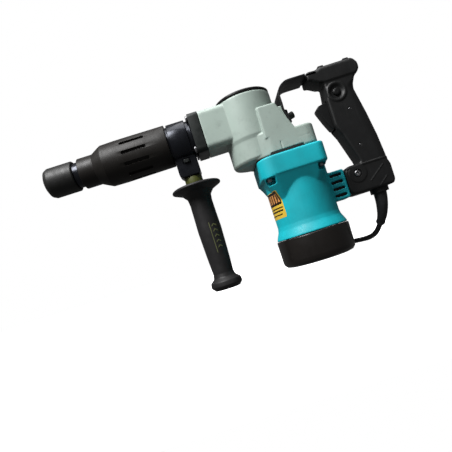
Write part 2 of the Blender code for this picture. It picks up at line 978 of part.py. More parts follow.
ARM_ROOM = [(66.5, 71.8), (120.0, 71.8), (120.0, 110.0), (93.0, 110.0), (92.0, 102.6), (66.5, 102.6)]
STRAP_ROOM = [(46.0, 237.5), (66.0, 237.5), (66.0, 241.0), (46.0, 241.0)]
TRIGGER_ROOM = [(56.0, 159.7), (77.4, 159.7), (77.4, 201.2), (56.0, 201.2)]
HEEL_TOP_X = ((72.8, 80.6), (107.8, 115.6))
BUTTON_SPOT = (84.8, 206.8)
HANDLE_SCREW_SPOT = (78.5, 94.3)
CORD_EXIT_X = 105.3


def one_side(side, deep, shallow=-1.0):
    """The two y limits of a cut or a lug on one side of the handle's seam."""
    return sorted((side * deep, side * shallow))


handle_shells = {}
for name, side in (("left", -1), ("right", 1)):
    levels = [(side * 0.15, HANDLE_OUTLINE)]
    for degrees in (0, 30, 60, 90):
        angle = math.radians(degrees)
        depth = HANDLE_HALF - HANDLE_ROUND * (1 - math.sin(angle))
        inset = HANDLE_ROUND * (1 - math.cos(angle))
        levels.append((side * depth, inset_outline(HANDLE_OUTLINE, inset, HANDLE_FRONT)))
    shell = lofted(f"handle_shell_{name}", levels, "Y")
    shell.data.materials.append(BLACK_PLASTIC)
    handle_shells[name] = shell
    seam = 0.15
    for number, (start, end) in enumerate(HEEL_TOP_X, 1):
        limits = one_side(side, 9.0, seam)
        join(shell, box(f"handle_heel_{name}_{number}", (start, end), limits, (242.0, 248.6)))
    half_disc = [
        (CORD_EXIT_X + 12.2 * math.cos(math.pi * k / 12), side * (seam + 12.2 * math.sin(math.pi * k / 12)))
        for k in range(13)
    ]
    join(shell, extruded(f"gland_collar_{name}", half_disc, 61.5, 70.0))
    for room_name, room, deep in (
        ("grip", GRIP_ROOM, 13.6),
        ("arm", ARM_ROOM, 13.6),
        ("strap", STRAP_ROOM, 20.0),
        ("trigger", TRIGGER_ROOM, 9.6),
    ):
        low, high = one_side(side, deep)
        cut(shell, extruded(f"cut_{room_name}_room_{name}", room, low, high, axis="Y"))
    cut(shell, rod(f"cut_gland_{name}", 9.5, 55.0, 75.0, (CORD_EXIT_X, 0, 0), UP_Z, steps=24))
cut(
    handle_shells["left"],
    turned(
        "cut_button_dish",
        [(0, 7.5), (5.4, 7.5), (5.4, 15.0), (9.5, 15.4), (11.0, 17.6), (11.0, 20.0), (0, 20.0)],
        (BUTTON_SPOT[0], 0, BUTTON_SPOT[1]),
        NEAR_Y,
        steps=24,
    ),
    turned(
        "cut_handle_screw",
        [(0, 10.0), (2.3, 10.0), (2.3, 14.9), (5.0, 14.9), (5.0, 20.0), (0, 20.0)],
        (HANDLE_SCREW_SPOT[0], 0, HANDLE_SCREW_SPOT[1]),
        NEAR_Y,
        steps=20,
    ),
)

trigger_pivot = (73.0, 164.0)
trigger_outline = [
    (-6.0, -2.4),
    (1.8, -2.8),
    (2.6, 1.6),
    (1.6, 33.5),
    (-5.6, 35.3),
    (-15.6, 33.1),
    (-18.6, 29.9),
    (-17.9, 26.7),
    (-12.0, 11.0),
]
trigger = extruded(
    "trigger",
    trigger_outline,
    -9.0,
    9.0,
    BLACK_PLASTIC,
    "Y",
    (trigger_pivot[0], 0, trigger_pivot[1]),
)
soften(trigger, 1.6, 2, 40)
pivot_spot = (trigger_pivot[0], 0, trigger_pivot[1])
join(trigger, rod("trigger_trunnion", 1.6, -11.4, 11.4, pivot_spot, FAR_Y, steps=12))
for name, shell in handle_shells.items():
    cut(shell, rod(f"cut_trunnion_{name}", 1.9, -11.9, 11.9, pivot_spot, FAR_Y, steps=12))
box("switch_body", (85.0, 103.6), (-10.0, 10.0), (160.0, 194.0), BLACK_PLASTIC)
helix("trigger_spring", 4, 1.0, 3.4, 75.7, 84.4, (0, 0, 187.0), UP_X, BRIGHT_STEEL)
turned(
    "lock_button",
    [
        (0, 11.6),
        (4.9, 11.6),
        (4.9, 15.8),
        (4.2, 16.8),
        (0, 17.2),
    ],
    (BUTTON_SPOT[0], 0, BUTTON_SPOT[1]),
    NEAR_Y,
    BLACK_PLASTIC,
    20,
)


def strip_outline(route, thickness):
    """A thin band's outline, half its thickness each side of an open route."""
    left = []
    right = []
    for k, (a, b) in enumerate(route):
        before = route[max(k - 1, 0)]
        after = route[min(k + 1, len(route) - 1)]
        along = Vector((after[0] - before[0], after[1] - before[1])).normalized()
        half = thickness / 2
        left.append((a - along.y * half, b + along.x * half))
        right.append((a + along.y * half, b - along.x * half))
    return left + right[::-1]


STRAP_HALF = 20.5
strap_route = [
    (62.0, 239.3),
    (26.0, 239.3),
    (19.4, 237.6),
    (13.8, 233.6),
    (10.4, 228.6),
    (9.2, 223.0),
    (9.2, 203.4),
    (11.2, 196.6),
    (14.2, 185.0),
]
strap = extruded(
    "handle_strap",
    strip_outline(strap_route, 2.6),
    -STRAP_HALF,
    STRAP_HALF,
    BLACK_STEEL,
    "Y",
    smooth=True,
)
cut(
    strap,
    box("cut_strap_near", (50.0, 64.0), (-22.0, -13.6), (230.0, 250.0)),
    box("cut_strap_far", (50.0, 64.0), (13.6, 22.0), (230.0, 250.0)),
)
strap_bolts = [((9.9, 9.0, 206.8), UP_X, 8.0), ((11.9, -9.0, 194.4), Vector((0.968, 0, 0.25)), 9.0)]
for number, (spot, direction, height) in enumerate(strap_bolts, 1):
    turned(
        f"strap_bolt_{number}",
        [
            (0, -14.0),
            (2.4, -14.0),
            (2.4, 1.7),
            (5.4, 1.7),
            (5.4, 1.7 + height - 0.8),
            (4.6, 1.7 + height),
            (0, 1.7 + height),
        ],
        spot,
        direction,
        BLACK_STEEL,
        12,
    )
    cut(strap, rod(f"cut_strap_hole_{number}", 2.8, -6, 6, spot, direction, steps=12))
    cut(housing, rod(f"cut_pad_hole_{number}", 2.8, -14.6, 6, spot, direction, steps=12))

turned(
    "handle_screw",
    [
        (0, 12.0),
        (2.0, 12.0),
        (2.0, 15.2),
        (4.6, 15.2),
        (4.6, 16.6),
        (3.4, 17.6),
        (0, 17.6),
    ],
    (HANDLE_SCREW_SPOT[0], 0, HANDLE_SCREW_SPOT[1]),
    NEAR_Y,
    BRIGHT_STEEL,
    20,
)


# Side handle: clamp band on the barrel, bolt, collar, grip and stud

band = barrel_part("clamp_band", ring_profile(24.95, 27.2, -147.0, -122.0), GLOSS_BLACK, 32)
lug = extruded(
    "clamp_lug",
    [
        (-147.0, 190.0),
        (-122.0, 190.0),
        (-119.4, 181.0),
        (-119.4, 162.5),
        (-122.0, 159.3),
        (-145.0, 159.3),
        (-148.6, 163.0),
        (-148.6, 181.0),
    ],
    -13.5,
    13.5,
    axis="Y",
)
soften(lug, 1.4, 2, 60)
join(band, lug)
cut(
    band,
    barrel_part("cut_band_bore", [(0, -150), (24.95, -150), (24.95, -110), (0, -110)], steps=32),
    rod("cut_stud_hole", 4.3, 150, 176, (GRIP_X, 0, 0), UP_Z, steps=20),
)
clamp_bolt = rod("clamp_bolt", 2.4, -17.0, 17.0, (-133.6, 0, 179.6), FAR_Y, BLACK_STEEL, 14)
join(clamp_bolt, box("clamp_bolt_head", (-137.8, -129.4), (-16.6, -13.8), (176.9, 182.3)))
cut(band, rod("cut_bolt_hole", 2.8, -30, 30, (-133.6, 0, 179.6), FAR_Y, steps=10))
turned(
    "clamp_collar",
    ring_profile(4.4, 12.2, 146.6, 159.0),
    (GRIP_X, 0, 0),
    UP_Z,
    OLIVE_PLASTIC,
    28,
)
rod("grip_stud", 4.0, 21.0, 174.6, (GRIP_X, 0, 0), UP_Z, BRIGHT_STEEL, 20)
turned(
    "side_grip",
    [
        (4.3, 146.2),
        (32.0, 146.2),
        (34.0, 144.6),
        (34.0, 142.4),
        (22.0, 137.0),
        (16.6, 130.5),
        (15.6, 122.0),
        (16.4, 84.0),
        (14.1, 22.0),
        (15.4, 16.5),
        (21.2, 11.6),
        (22.0, 5.0),
        (17.0, 0.0),
        (0, 0.0),
        (0, 20.6),
        (4.3, 20.6),
    ],
    (GRIP_X, 0, 0),
    UP_Z,
    RUBBER,
    24,
)


# Power cord: bend guard, cord, coil and plug

CORD_R = 3.75
GUARD_TAPER = 0.40
COIL_CENTRE = (30.0, 112.0)
COIL_R = 42.0


def smooth_route(knots, spacing):
    """Points at even spacing along a smooth curve through hand-chosen knots."""
    ends = [knots[0] * 2 - knots[1]] + knots + [knots[-1] * 2 - knots[-2]]
    fine = []
    for k in range(1, len(ends) - 2):
        a, b, c, d = ends[k - 1 : k + 3]
        for step in range(40):
            t = step / 40
            spot = 0.5 * (
                2 * b + (c - a) * t + (2 * a - 5 * b + 4 * c - d) * t**2 + (3 * b - 3 * c + d - a) * t**3
            )
            fine.append(spot)
    fine.append(knots[-1])
    kept = [fine[0]]
    walked = 0.0
    for before, after in zip(fine, fine[1:]):
        walked += (after - before).length
        if walked >= spacing:
            kept.append(after)
            walked = 0.0
    kept[-1] = fine[-1]
    return kept


def tube(name, route, radius, paint, steps=2, radii=None):
    """A cord along a route, flat at both ends."""
    shape = bpy.data.curves.new(name, "CURVE")
    shape.dimensions = "3D"
    shape.bevel_depth = radius * MM
    shape.bevel_resolution = steps
    shape.use_fill_caps = True
    shape.materials.append(paint)
    line = shape.splines.new("POLY")
    line.points.add(len(route) - 1)
    for k, spot in enumerate(route):
        line.points[k].co = (*(spot * MM), 1.0)
        line.points[k].radius = radii[k] if radii else 1.0
    made = bpy.data.objects.new(name, shape)
    bpy.context.scene.collection.objects.link(made)
    return made


guard_knots = [
    Vector((CORD_EXIT_X, 0.0, 68.0)),
    Vector((CORD_EXIT_X - 0.6, 0.0, 56.0)),
    Vector((CORD_EXIT_X - 1.8, 2.0, 44.0)),
    Vector((CORD_EXIT_X - 3.4, 8.0, 31.5)),
    Vector((CORD_EXIT_X - 5.4, 18.0, 21.0)),
]
guard_route = smooth_route(guard_knots, 5.0)
guard_last = guard_route[-1]
guard_way = (guard_route[-1] - guard_route[-2]).normalized()
guard_radii = [1.0 - GUARD_TAPER * k / (len(guard_route) - 1) for k in range(len(guard_route))]
tube("cord_guard", guard_route, 9.2, RUBBER, 3, guard_radii)

cord_start = guard_last + guard_way * 0.35
coil_side = Vector((0.75, -0.66, 0)).normalized()
cord_end = Vector((*COIL_CENTRE, CORD_R + 0.2)) + coil_side * (COIL_R + 1.5 * 2 * CORD_R + 0.4)
cord_knots = [
    cord_start,
    cord_start + guard_way * 7.0,
    Vector((CORD_EXIT_X - 10.0, 38.0, 6.8)),
    Vector((CORD_EXIT_X - 15.0, 56.0, CORD_R + 0.2)),
    cord_end + coil_side * 12.0,
    cord_end,
]
tube("power_cord", smooth_route(cord_knots, 9.0), CORD_R, RUBBER, 2)

coil_low = 0.1
coil_high = coil_low + 3 * 2 * CORD_R
turned(
    "cord_coil",
    [
        (COIL_R - 9.2, coil_low),
        (COIL_R + 9.2, coil_low),
        (COIL_R + 11.2, coil_low + 2.0),
        (COIL_R + 11.2, coil_high - 2.0),
        (COIL_R + 9.2, coil_high),
        (COIL_R - 9.2, coil_high),
        (COIL_R - 11.2, coil_high - 2.0),
        (COIL_R - 11.2, coil_low + 2.0),
    ],
    (*COIL_CENTRE, 0),
    UP_Z,
    RUBBER,
    28,
)

PLUG_LOW = coil_high + 0.3
plug = extruded(
    "plug",
    [(-26, -5), (-8, -8), (2, -14), (16, -14), (16, 14), (2, 14), (-8, 8), (-26, 5)],
    0,
    17.0,
    RUBBER,
    "Z",
    (COIL_CENTRE[0], COIL_CENTRE[1], PLUG_LOW),
)
soften(plug, 2.5, 2, 60)
for side in (-1, 1):
    across = COIL_CENTRE[1] + side * 9.5
    spot = (COIL_CENTRE[0], across, PLUG_LOW + 8.5)
    join(plug, rod(f"plug_pin_{side + 2}", 2.4, 12.0, 34.5, spot, UP_X, steps=10))


# Which piece each piece is carried by

CARRIED = {
    "crank_housing": ["barrel", "motor_housing", "crank_cap", "housing_gasket", "crankshaft"]
    + ["handle_strap", "bearing_retainer", "crank_bearing_upper"],
    "barrel": ["barrel_sleeve", "tool_holder", "cylinder", "clamp_band"]
    + [f"barrel_bolt_{k}" for k in range(1, 5)],
    "tool_holder": ["nose_ring", "nose_spring", "retainer_roller", "striker"],
    "cylinder": ["ram", "piston"],
    "piston": ["wrist_pin", "connecting_rod"],
    "connecting_rod": ["crank_pin"],
    "crankshaft": ["crank_gear"],
    "motor_housing": ["armature", "stator", "rear_cover", "handle_shell_left", "handle_shell_right"]
    + ["armature_bearing_upper", "armature_bearing_lower"]
    + ["brush_holder_near", "brush_holder_far"]
    + [f"motor_screw_{k}" for k in range(1, 5)],
    "armature": ["fan"],
    "brush_holder_near": ["carbon_brush_near"],
    "brush_holder_far": ["carbon_brush_far"],
    "rear_cover": ["rear_cover_screw_1", "rear_cover_screw_2"],
    "handle_shell_left": ["trigger", "switch_body", "trigger_spring", "lock_button"]
    + ["handle_screw", "cord_guard"],
    "handle_strap": ["strap_bolt_1", "strap_bolt_2"],
    "cord_guard": ["power_cord"],
    "power_cord": ["cord_coil", "plug"],
    "clamp_band": ["clamp_bolt", "clamp_collar", "grip_stud"],
    "grip_stud": ["side_grip"],
}
bpy.context.view_layer.update()
for carrier_name, names in CARRIED.items():
    carrier = bpy.data.objects[carrier_name]
    for name in names:
        piece = bpy.data.objects[name]
        piece.parent = carrier
        piece.matrix_parent_inverse = carrier.matrix_world.inverted()
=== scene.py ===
import math

import bmesh
import bpy
import numpy as np
from mathutils import Matrix, Vector
from mathutils.bvhtree import BVHTree
from mathutils.geometry import delaunay_2d_cdt


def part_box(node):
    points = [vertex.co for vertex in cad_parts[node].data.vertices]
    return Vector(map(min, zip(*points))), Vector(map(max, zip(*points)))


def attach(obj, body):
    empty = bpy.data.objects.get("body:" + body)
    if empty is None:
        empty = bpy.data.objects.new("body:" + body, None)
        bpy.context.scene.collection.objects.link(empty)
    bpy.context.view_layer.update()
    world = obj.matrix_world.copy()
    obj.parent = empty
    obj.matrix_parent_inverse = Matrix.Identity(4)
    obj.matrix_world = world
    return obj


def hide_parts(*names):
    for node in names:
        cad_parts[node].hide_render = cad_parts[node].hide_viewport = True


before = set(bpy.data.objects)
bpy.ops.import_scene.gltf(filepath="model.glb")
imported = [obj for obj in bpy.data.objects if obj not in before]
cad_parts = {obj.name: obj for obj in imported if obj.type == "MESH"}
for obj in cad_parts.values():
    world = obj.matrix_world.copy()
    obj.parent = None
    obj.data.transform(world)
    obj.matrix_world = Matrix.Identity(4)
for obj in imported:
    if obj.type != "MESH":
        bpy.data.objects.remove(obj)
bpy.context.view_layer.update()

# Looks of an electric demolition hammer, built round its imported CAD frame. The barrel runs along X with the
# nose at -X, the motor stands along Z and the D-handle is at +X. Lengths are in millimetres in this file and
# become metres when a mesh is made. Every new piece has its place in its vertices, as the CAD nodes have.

MM = 0.001
UP_X = Vector((1, 0, 0))
UP_Z = Vector((0, 0, 1))
NEAR_Y = Vector((0, -1, 0))
FAR_Y = Vector((0, 1, 0))
scene = bpy.context.scene


def limits(node):
    low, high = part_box(node)
    return low / MM, high / MM


def middle(node):
    low, high = limits(node)
    return (low + high) / 2


# Camera

EYE = Vector((-0.1188, -0.560, 0.040))
EYE_RIGHT = Vector((0.9527, 0, -0.304))
EYE_UP = Vector((0.304, 0, 0.9527))
VIEW_WIDTH_AT_AXIS = 0.6192
camera = bpy.data.objects.new("camera", bpy.data.cameras.new("camera"))
scene.collection.objects.link(camera)
camera.matrix_world = (
    Matrix.Translation(EYE) @ Matrix((EYE_RIGHT, EYE_UP, NEAR_Y)).transposed().to_4x4()
)
camera.data.sensor_width = 36
camera.data.lens = 36 * -EYE.y / VIEW_WIDTH_AT_AXIS
camera.data.shift_x = -0.0066
camera.data.shift_y = 0.0686
scene.camera = camera


# Materials


class Shader:
    """A procedural material under construction, with short names for the nodes that all of them share."""

    def __init__(self, name):
        self.made = bpy.data.materials.new(name)
        self.made.use_nodes = True
        self.tree = self.made.node_tree
        self.surface = self.tree.nodes["Principled BSDF"]
        self.place = self.node("ShaderNodeTexCoord").outputs["Object"]

    def node(self, kind, **settings):
        made = self.tree.nodes.new(kind)
        for key, value in settings.items():
            setattr(made, key, value)
        return made

    def link(self, source, target):
        self.tree.links.new(source, target)

    def stretched(self, scales):
        mapping = self.node("ShaderNodeMapping")
        mapping.inputs["Scale"].default_value = scales
        self.link(self.place, mapping.inputs["Vector"])
        return mapping.outputs["Vector"]

    def noise(self, scale, detail=3.0, roughness=0.55, place=None):
        made = self.node("ShaderNodeTexNoise")
        made.inputs["Scale"].default_value = scale
        made.inputs["Detail"].default_value = detail
        made.inputs["Roughness"].default_value = roughness
        self.link(place or self.place, made.inputs["Vector"])
        return made.outputs["Fac"]

    def pits(self, scale):
        made = self.node("ShaderNodeTexVoronoi")
        made.inputs["Scale"].default_value = scale
        self.link(self.place, made.inputs["Vector"])
        return made.outputs["Distance"]

    def ranged(self, value, low, high, to_low, to_high):
        made = self.node("ShaderNodeMapRange")
        for key, number in zip(("From Min", "From Max", "To Min", "To Max"), (low, high, to_low, to_high)):
            made.inputs[key].default_value = number
        self.link(value, made.inputs["Value"])
        return made.outputs["Result"]

    def maths(self, operation, first, second):
        made = self.node("ShaderNodeMath", operation=operation)
        for socket, value in zip(made.inputs, (first, second)):
            if isinstance(value, (int, float)):
                socket.default_value = value
            else:
                self.link(value, socket)
        return made.outputs["Value"]

    def mixed(self, factor, first, second):
        made = self.node("ShaderNodeMix", data_type="RGBA")
        self.link(factor, made.inputs["Factor"])
        for key, colour in (("A", first), ("B", second)):
            socket = next(s for s in made.inputs if s.name == key and s.type == "RGBA")
            if isinstance(colour, tuple):
                socket.default_value = (*colour, 1.0)
            else:
                self.link(colour, socket)
        return next(s for s in made.outputs if s.type == "RGBA")

    def coloured(self, colour):
        self.link(colour, self.surface.inputs["Base Color"])

    def roughened(self, noise, low, high):
        """Roughness from low to high with a noise's middle range."""
        self.link(self.ranged(noise, 0.3, 0.7, low, high), self.surface.inputs["Roughness"])

    def bumped(self, layers):
        """A normal from several (height, strength, distance in millimetres) layers."""
        normal = None
        for height, strength, distance in layers:
            bump = self.node("ShaderNodeBump")
            bump.inputs["Strength"].default_value = strength
            bump.inputs["Distance"].default_value = distance * MM
            self.link(height, bump.inputs["Height"])
            if normal:
                self.link(normal, bump.inputs["Normal"])
            normal = bump.outputs["Normal"]
        self.link(normal, self.surface.inputs["Normal"])

    def rims(self, width=0.7):
        """1 on edges that stick out, 0 on flat stretches."""
        rounded = self.node("ShaderNodeBevel", samples=4)
        rounded.inputs["Radius"].default_value = width * MM
        dot = self.node("ShaderNodeVectorMath", operation="DOT_PRODUCT")
        self.link(rounded.outputs["Normal"], dot.inputs[0])
        self.link(self.node("ShaderNodeNewGeometry").outputs["Normal"], dot.inputs[1])
        return self.ranged(dot.outputs["Value"], 0.97, 0.80, 0.0, 1.0)


def scale_colour(colour, factor):
    return tuple(min(1.0, channel * factor) for channel in colour)


def plastic(name, colour, roughness, texture, depth, coat=0.0, rub=None, shine=0.5):
    """Moulded plastic: uneven tone, a fine grain, faint handling scratches and, with rub, paler edges."""
    s = Shader(name)
    cloud = s.ranged(s.noise(22.0, 5.0), 0.35, 0.65, 0.0, 1.0)
    tone = s.mixed(cloud, scale_colour(colour, 0.88), scale_colour(colour, 1.12))
    scuffs = s.ranged(s.noise(260.0, 2.0, 0.5, s.stretched((1.0, 1.0, 0.06))), 0.60, 0.72, 0.0, 1.0)
    if rub:
        worn = s.maths("MULTIPLY", s.rims(), s.ranged(s.noise(160.0, 3.0), 0.40, 0.62, 0.0, 0.8))
        tone = s.mixed(worn, tone, rub)
    s.coloured(tone)
    rough = s.ranged(s.noise(70.0, 4.0), 0.3, 0.7, roughness - 0.05, roughness + 0.07)
    s.link(s.maths("ADD", rough, s.maths("MULTIPLY", scuffs, 0.10)), s.surface.inputs["Roughness"])
    s.surface.inputs["Coat Weight"].default_value = coat
    s.surface.inputs["Coat Roughness"].default_value = 0.12
    s.surface.inputs["Specular IOR Level"].default_value = shine
    s.bumped(
        [
            (s.pits(texture), 0.35, depth),
            (s.noise(45.0, 2.0), 0.15, 0.25),
            (scuffs, 0.12, 0.02),
        ]
    )
    return s.made


def painted_casting(name, colour, bare):
    """Stoved paint on a sand casting: soft waviness, pinholes, grimy patches and chipped edges."""
    s = Shader(name)
    cloud = s.ranged(s.noise(14.0, 6.0), 0.35, 0.65, 0.0, 1.0)
    tone = s.mixed(cloud, scale_colour(colour, 0.92), scale_colour(colour, 1.06))
    grime = s.ranged(s.noise(120.0, 5.0), 0.56, 0.74, 0.0, 0.35)
    tone = s.mixed(grime, tone, scale_colour(colour, 0.62))
    chips = s.maths("MULTIPLY", s.rims(0.9), s.ranged(s.noise(210.0, 4.0), 0.52, 0.60, 0.0, 1.0))
    tone = s.mixed(chips, tone, bare)
    s.coloured(tone)
    rough = s.ranged(s.noise(90.0, 4.0), 0.3, 0.7, 0.38, 0.52)
    s.link(s.maths("SUBTRACT", rough, s.maths("MULTIPLY", chips, 0.08)), s.surface.inputs["Roughness"])
    s.bumped(
        [
            (s.noise(520.0, 3.0), 0.30, 0.10),
            (s.noise(60.0, 2.0), 0.22, 0.45),
            (s.pits(1500.0), 0.12, 0.04),
        ]
    )
    return s.made


def metal(name, colour, roughness, metallic=1.0, turned_along=None, stain=0.75):
    """Machined or blackened steel: tool marks round the axis, stains and bright handled edges."""
    s = Shader(name)
    blot = s.ranged(s.noise(55.0, 6.0), 0.42, 0.66, 0.0, 1.0)
    tone = s.mixed(blot, colour, scale_colour(colour, stain))
    bright = s.maths("MULTIPLY", s.rims(0.4), s.ranged(s.noise(300.0, 3.0), 0.42, 0.64, 0.05, 0.6))
    tone = s.mixed(bright, tone, scale_colour(colour, 2.2))
    s.coloured(tone)
    s.surface.inputs["Metallic"].default_value = metallic
    s.roughened(s.noise(140.0, 5.0), roughness - 0.05, roughness + 0.10)
    scales = {"X": (1.0, 0.03, 0.03), "Z": (0.03, 0.03, 1.0), None: (1.0, 1.0, 1.0)}[turned_along]
    s.bumped(
        [
            (s.noise(2600.0, 2.0, 0.5, s.stretched(scales)), 0.20, 0.03),
            (s.noise(340.0, 3.0), 0.12, 0.04),
        ]
    )
    return s.made


def rubber(name, colour, roughness=0.62):
    """Soft rubber: a dull pebbled skin with paler rubbed patches and dust in it."""
    s = Shader(name)
    dust = s.ranged(s.noise(75.0, 6.0), 0.48, 0.74, 0.0, 0.45)
    tone = s.mixed(dust, colour, scale_colour(colour, 1.9))
    s.coloured(tone)
    s.roughened(s.noise(110.0, 4.0), roughness - 0.08, roughness + 0.08)
    s.surface.inputs["Specular IOR Level"].default_value = 0.3
    s.bumped([(s.pits(1150.0), 0.40, 0.09), (s.noise(240.0, 3.0), 0.15, 0.12)])
    return s.made


def wound_copper(name):
    """Enamelled copper wire wound in fine layers."""
    s = Shader(name)
    strand = s.node("ShaderNodeTexWave", bands_direction="Z")
    strand.inputs["Scale"].default_value = 420.0
    strand.inputs["Distortion"].default_value = 1.2
    s.link(s.place, strand.inputs["Vector"])
    s.coloured(s.mixed(strand.outputs["Fac"], (0.16, 0.05, 0.02), (0.62, 0.24, 0.09)))
    s.surface.inputs["Metallic"].default_value = 0.8
    s.roughened(s.noise(90.0), 0.28, 0.45)
    s.bumped([(strand.outputs["Fac"], 0.5, 0.3)])
    return s.made


def stacked_steel(name):
    """Thin steel laminations pressed together along Z."""
    s = Shader(name)
    sheets = s.node("ShaderNodeTexWave", bands_direction="Z")
    sheets.inputs["Scale"].default_value = 320.0
    s.link(s.place, sheets.inputs["Vector"])
    s.coloured(s.mixed(sheets.outputs["Fac"], (0.14, 0.14, 0.15), (0.34, 0.34, 0.35)))
    s.surface.inputs["Metallic"].default_value = 0.9
    s.roughened(s.noise(120.0), 0.36, 0.55)
    s.bumped([(sheets.outputs["Fac"], 0.35, 0.08)])
    return s.made


SAGE = painted_casting("sage_paint", (0.315, 0.385, 0.345), (0.52, 0.53, 0.52))
TEAL = plastic("teal_plastic", (0.002, 0.385, 0.450), 0.56, 1400.0, 0.02, 0.03, None, 0.4)
HANDLE_RUB = (0.03, 0.03, 0.03)
TRIGGER_RUB = (0.02, 0.02, 0.02)
SLEEVE_RUB = (0.025, 0.022, 0.02)
HANDLE_BLACK = plastic("handle_black", (0.0090, 0.0092, 0.0094), 0.44, 1000.0, 0.06, 0.0, HANDLE_RUB, 0.28)
TRIGGER_BLACK = plastic("trigger_black", (0.0075, 0.0078, 0.0080), 0.32, 1300.0, 0.03, 0.0, TRIGGER_RUB, 0.3)
SLEEVE_BLACK = plastic("sleeve_black", (0.0105, 0.0092, 0.0080), 0.46, 1000.0, 0.06, 0.0, SLEEVE_RUB, 0.22)
COVER_BLACK = plastic("cover_black", (0.0085, 0.0070, 0.0062), 0.33, 1600.0, 0.015, 0.1, None, 0.35)
CAP_BLACK = plastic("cap_black", (0.006, 0.006, 0.006), 0.30, 1600.0, 0.015, 0.0, None, 0.3)
OLIVE = plastic("olive_plastic", (0.062, 0.070, 0.008), 0.48, 1000.0, 0.05)
FLANGE_STEEL = metal("blackened_steel", (0.016, 0.019, 0.018), 0.42, 0.55)
BARREL_STEEL = metal("blued_barrel", (0.024, 0.026, 0.032), 0.26, 0.80, "X")
BAND_STEEL = metal("lacquered_band", (0.020, 0.022, 0.028), 0.24, 0.70, "X")
STRAP_STEEL = metal("lacquered_strap", (0.014, 0.014, 0.015), 0.42, 0.45)
BRIGHT_STEEL = metal("bright_steel", (0.52, 0.52, 0.53), 0.26, 1.0)
SCREW_STEEL = metal("plated_screw", (0.30, 0.30, 0.31), 0.30, 1.0)
NOSE_RUBBER = rubber("nose_rubber", (0.0105, 0.0105, 0.0100), 0.50)
GRIP_RUBBER = rubber("grip_rubber", (0.0125, 0.0120, 0.0125), 0.52)
CORD_RUBBER = rubber("cord_rubber", (0.012, 0.012, 0.013), 0.48)
GUARD_RUBBER = rubber("guard_rubber", (0.016, 0.017, 0.018), 0.50)
COPPER = wound_copper("copper_winding")
LAMINATION = stacked_steel("lamination_steel")
CARBON = rubber("pressed_carbon", (0.03, 0.03, 0.03), 0.7)
BRASS = metal("brass", (0.55, 0.38, 0.11), 0.28, 1.0)
FIBRE = rubber("gasket_fibre", (0.010, 0.011, 0.010), 0.8)
LABEL_YELLOW = plastic("label_yellow", (0.66, 0.44, 0.045), 0.38, 1800.0, 0.008)
LABEL_ORANGE = plastic("label_orange", (0.55, 0.24, 0.07), 0.38, 1800.0, 0.008)
LABEL_BLACK = plastic("label_black", (0.016, 0.008, 0.004), 0.36, 1800.0, 0.008)
MARK_OLIVE = plastic("mark_olive", (0.105, 0.115, 0.045), 0.5, 1500.0, 0.02)

SLOT_PAINT = {
    "aluminium": SAGE,
    "black_plastic": HANDLE_BLACK,
    "gloss_black": CAP_BLACK,
    "black_steel": FLANGE_STEEL,
    "bright_steel": BRIGHT_STEEL,
    "teal_plastic": TEAL,
    "olive_plastic": OLIVE,
    "rubber": GRIP_RUBBER,
    "copper": COPPER,
    "lamination": LAMINATION,
    "carbon": CARBON,
    "brass": BRASS,
    "fibre": FIBRE,
}


# Shapes


def mesh_piece(name, points, faces, paint=None, sharp=32):
    """A mesh from points in millimetres, with its normals facing out."""
    mesh = bpy.data.meshes.new(name)
    mesh.from_pydata([[c * MM for c in p] for p in points], [], faces)
    shape = bmesh.new()
    shape.from_mesh(mesh)
    bmesh.ops.recalc_face_normals(shape, faces=shape.faces)
    shape.to_mesh(mesh)
    shape.free()
    made = bpy.data.objects.new(name, mesh)
    scene.collection.objects.link(made)
    if paint:
        mesh.materials.append(paint)
    shade(made, sharp)
    return made


def shade(piece, sharp=32):
    mesh = piece.data
    mesh.polygons.foreach_set("use_smooth", [True] * len(mesh.polygons))
    mesh.set_sharp_from_angle(angle=math.radians(sharp))


def signed_area(outline):
    pairs = zip(outline, outline[1:] + outline[:1])
    return 0.5 * sum(a[0] * b[1] - b[0] * a[1] for a, b in pairs)


def filleted(outline, radius, steps=3, keep=()):
    """An outline with its corners rounded, as far as their edges allow; keep lists corners left sharp."""
    made = []
    count = len(outline)
    for k in range(count):
        before, corner, after = (Vector(outline[(k + step) % count]) for step in (-1, 0, 1))
        back = before - corner
        on = after - corner
        turn = back.angle(on)
        if k in keep or turn > math.radians(172):
            made.append(tuple(corner))
            continue
        reach = min(radius / math.tan(turn / 2), back.length * 0.45, on.length * 0.45)
        start = corner + back.normalized() * reach
        end = corner + on.normalized() * reach
        centre = corner + (start + end - corner * 2).normalized() * (reach / math.cos(turn / 2))
        swing = (start - centre).angle_signed(end - centre)
        for step in range(steps + 1):
            made.append(tuple(centre + Matrix.Rotation(-swing * step / steps, 2) @ (start - centre)))
    return made


def turned(name, profile, centre, direction, paint=None, steps=96, fillet=0.6):
    """A solid of revolution about a direction, from a closed outline of (radius, distance along) points."""
    axis_corners = [k for k, point in enumerate(profile) if point[0] == 0]
    outline = filleted(profile, fillet, 3, axis_corners) if fillet else list(profile)
    if signed_area(outline) < 0:
        outline.reverse()
    turn = UP_Z.rotation_difference(Vector(direction)).to_matrix()
    points = []
    rings = []
    for radius, along in outline:
        count = steps if radius > 1e-6 else 1
        rings.append(range(len(points), len(points) + count))
        for k in range(count):
            angle = 2 * math.pi * k / steps
            spot = turn @ Vector((radius * math.cos(angle), radius * math.sin(angle), along))
            points.append(spot + Vector(centre))
    faces = []
    for first, second in zip(rings, rings[1:] + rings[:1]):
        if len(first) == 1 and len(second) == 1:
            continue
        for k in range(steps):
            nxt = (k + 1) % steps
            if len(first) == 1:
                faces.append((first[0], second[nxt], second[k]))
            elif len(second) == 1:
                faces.append((first[k], first[nxt], second[0]))
            else:
                faces.append((first[k], first[nxt], second[nxt], second[k]))
    return mesh_piece(name, points, faces, paint)


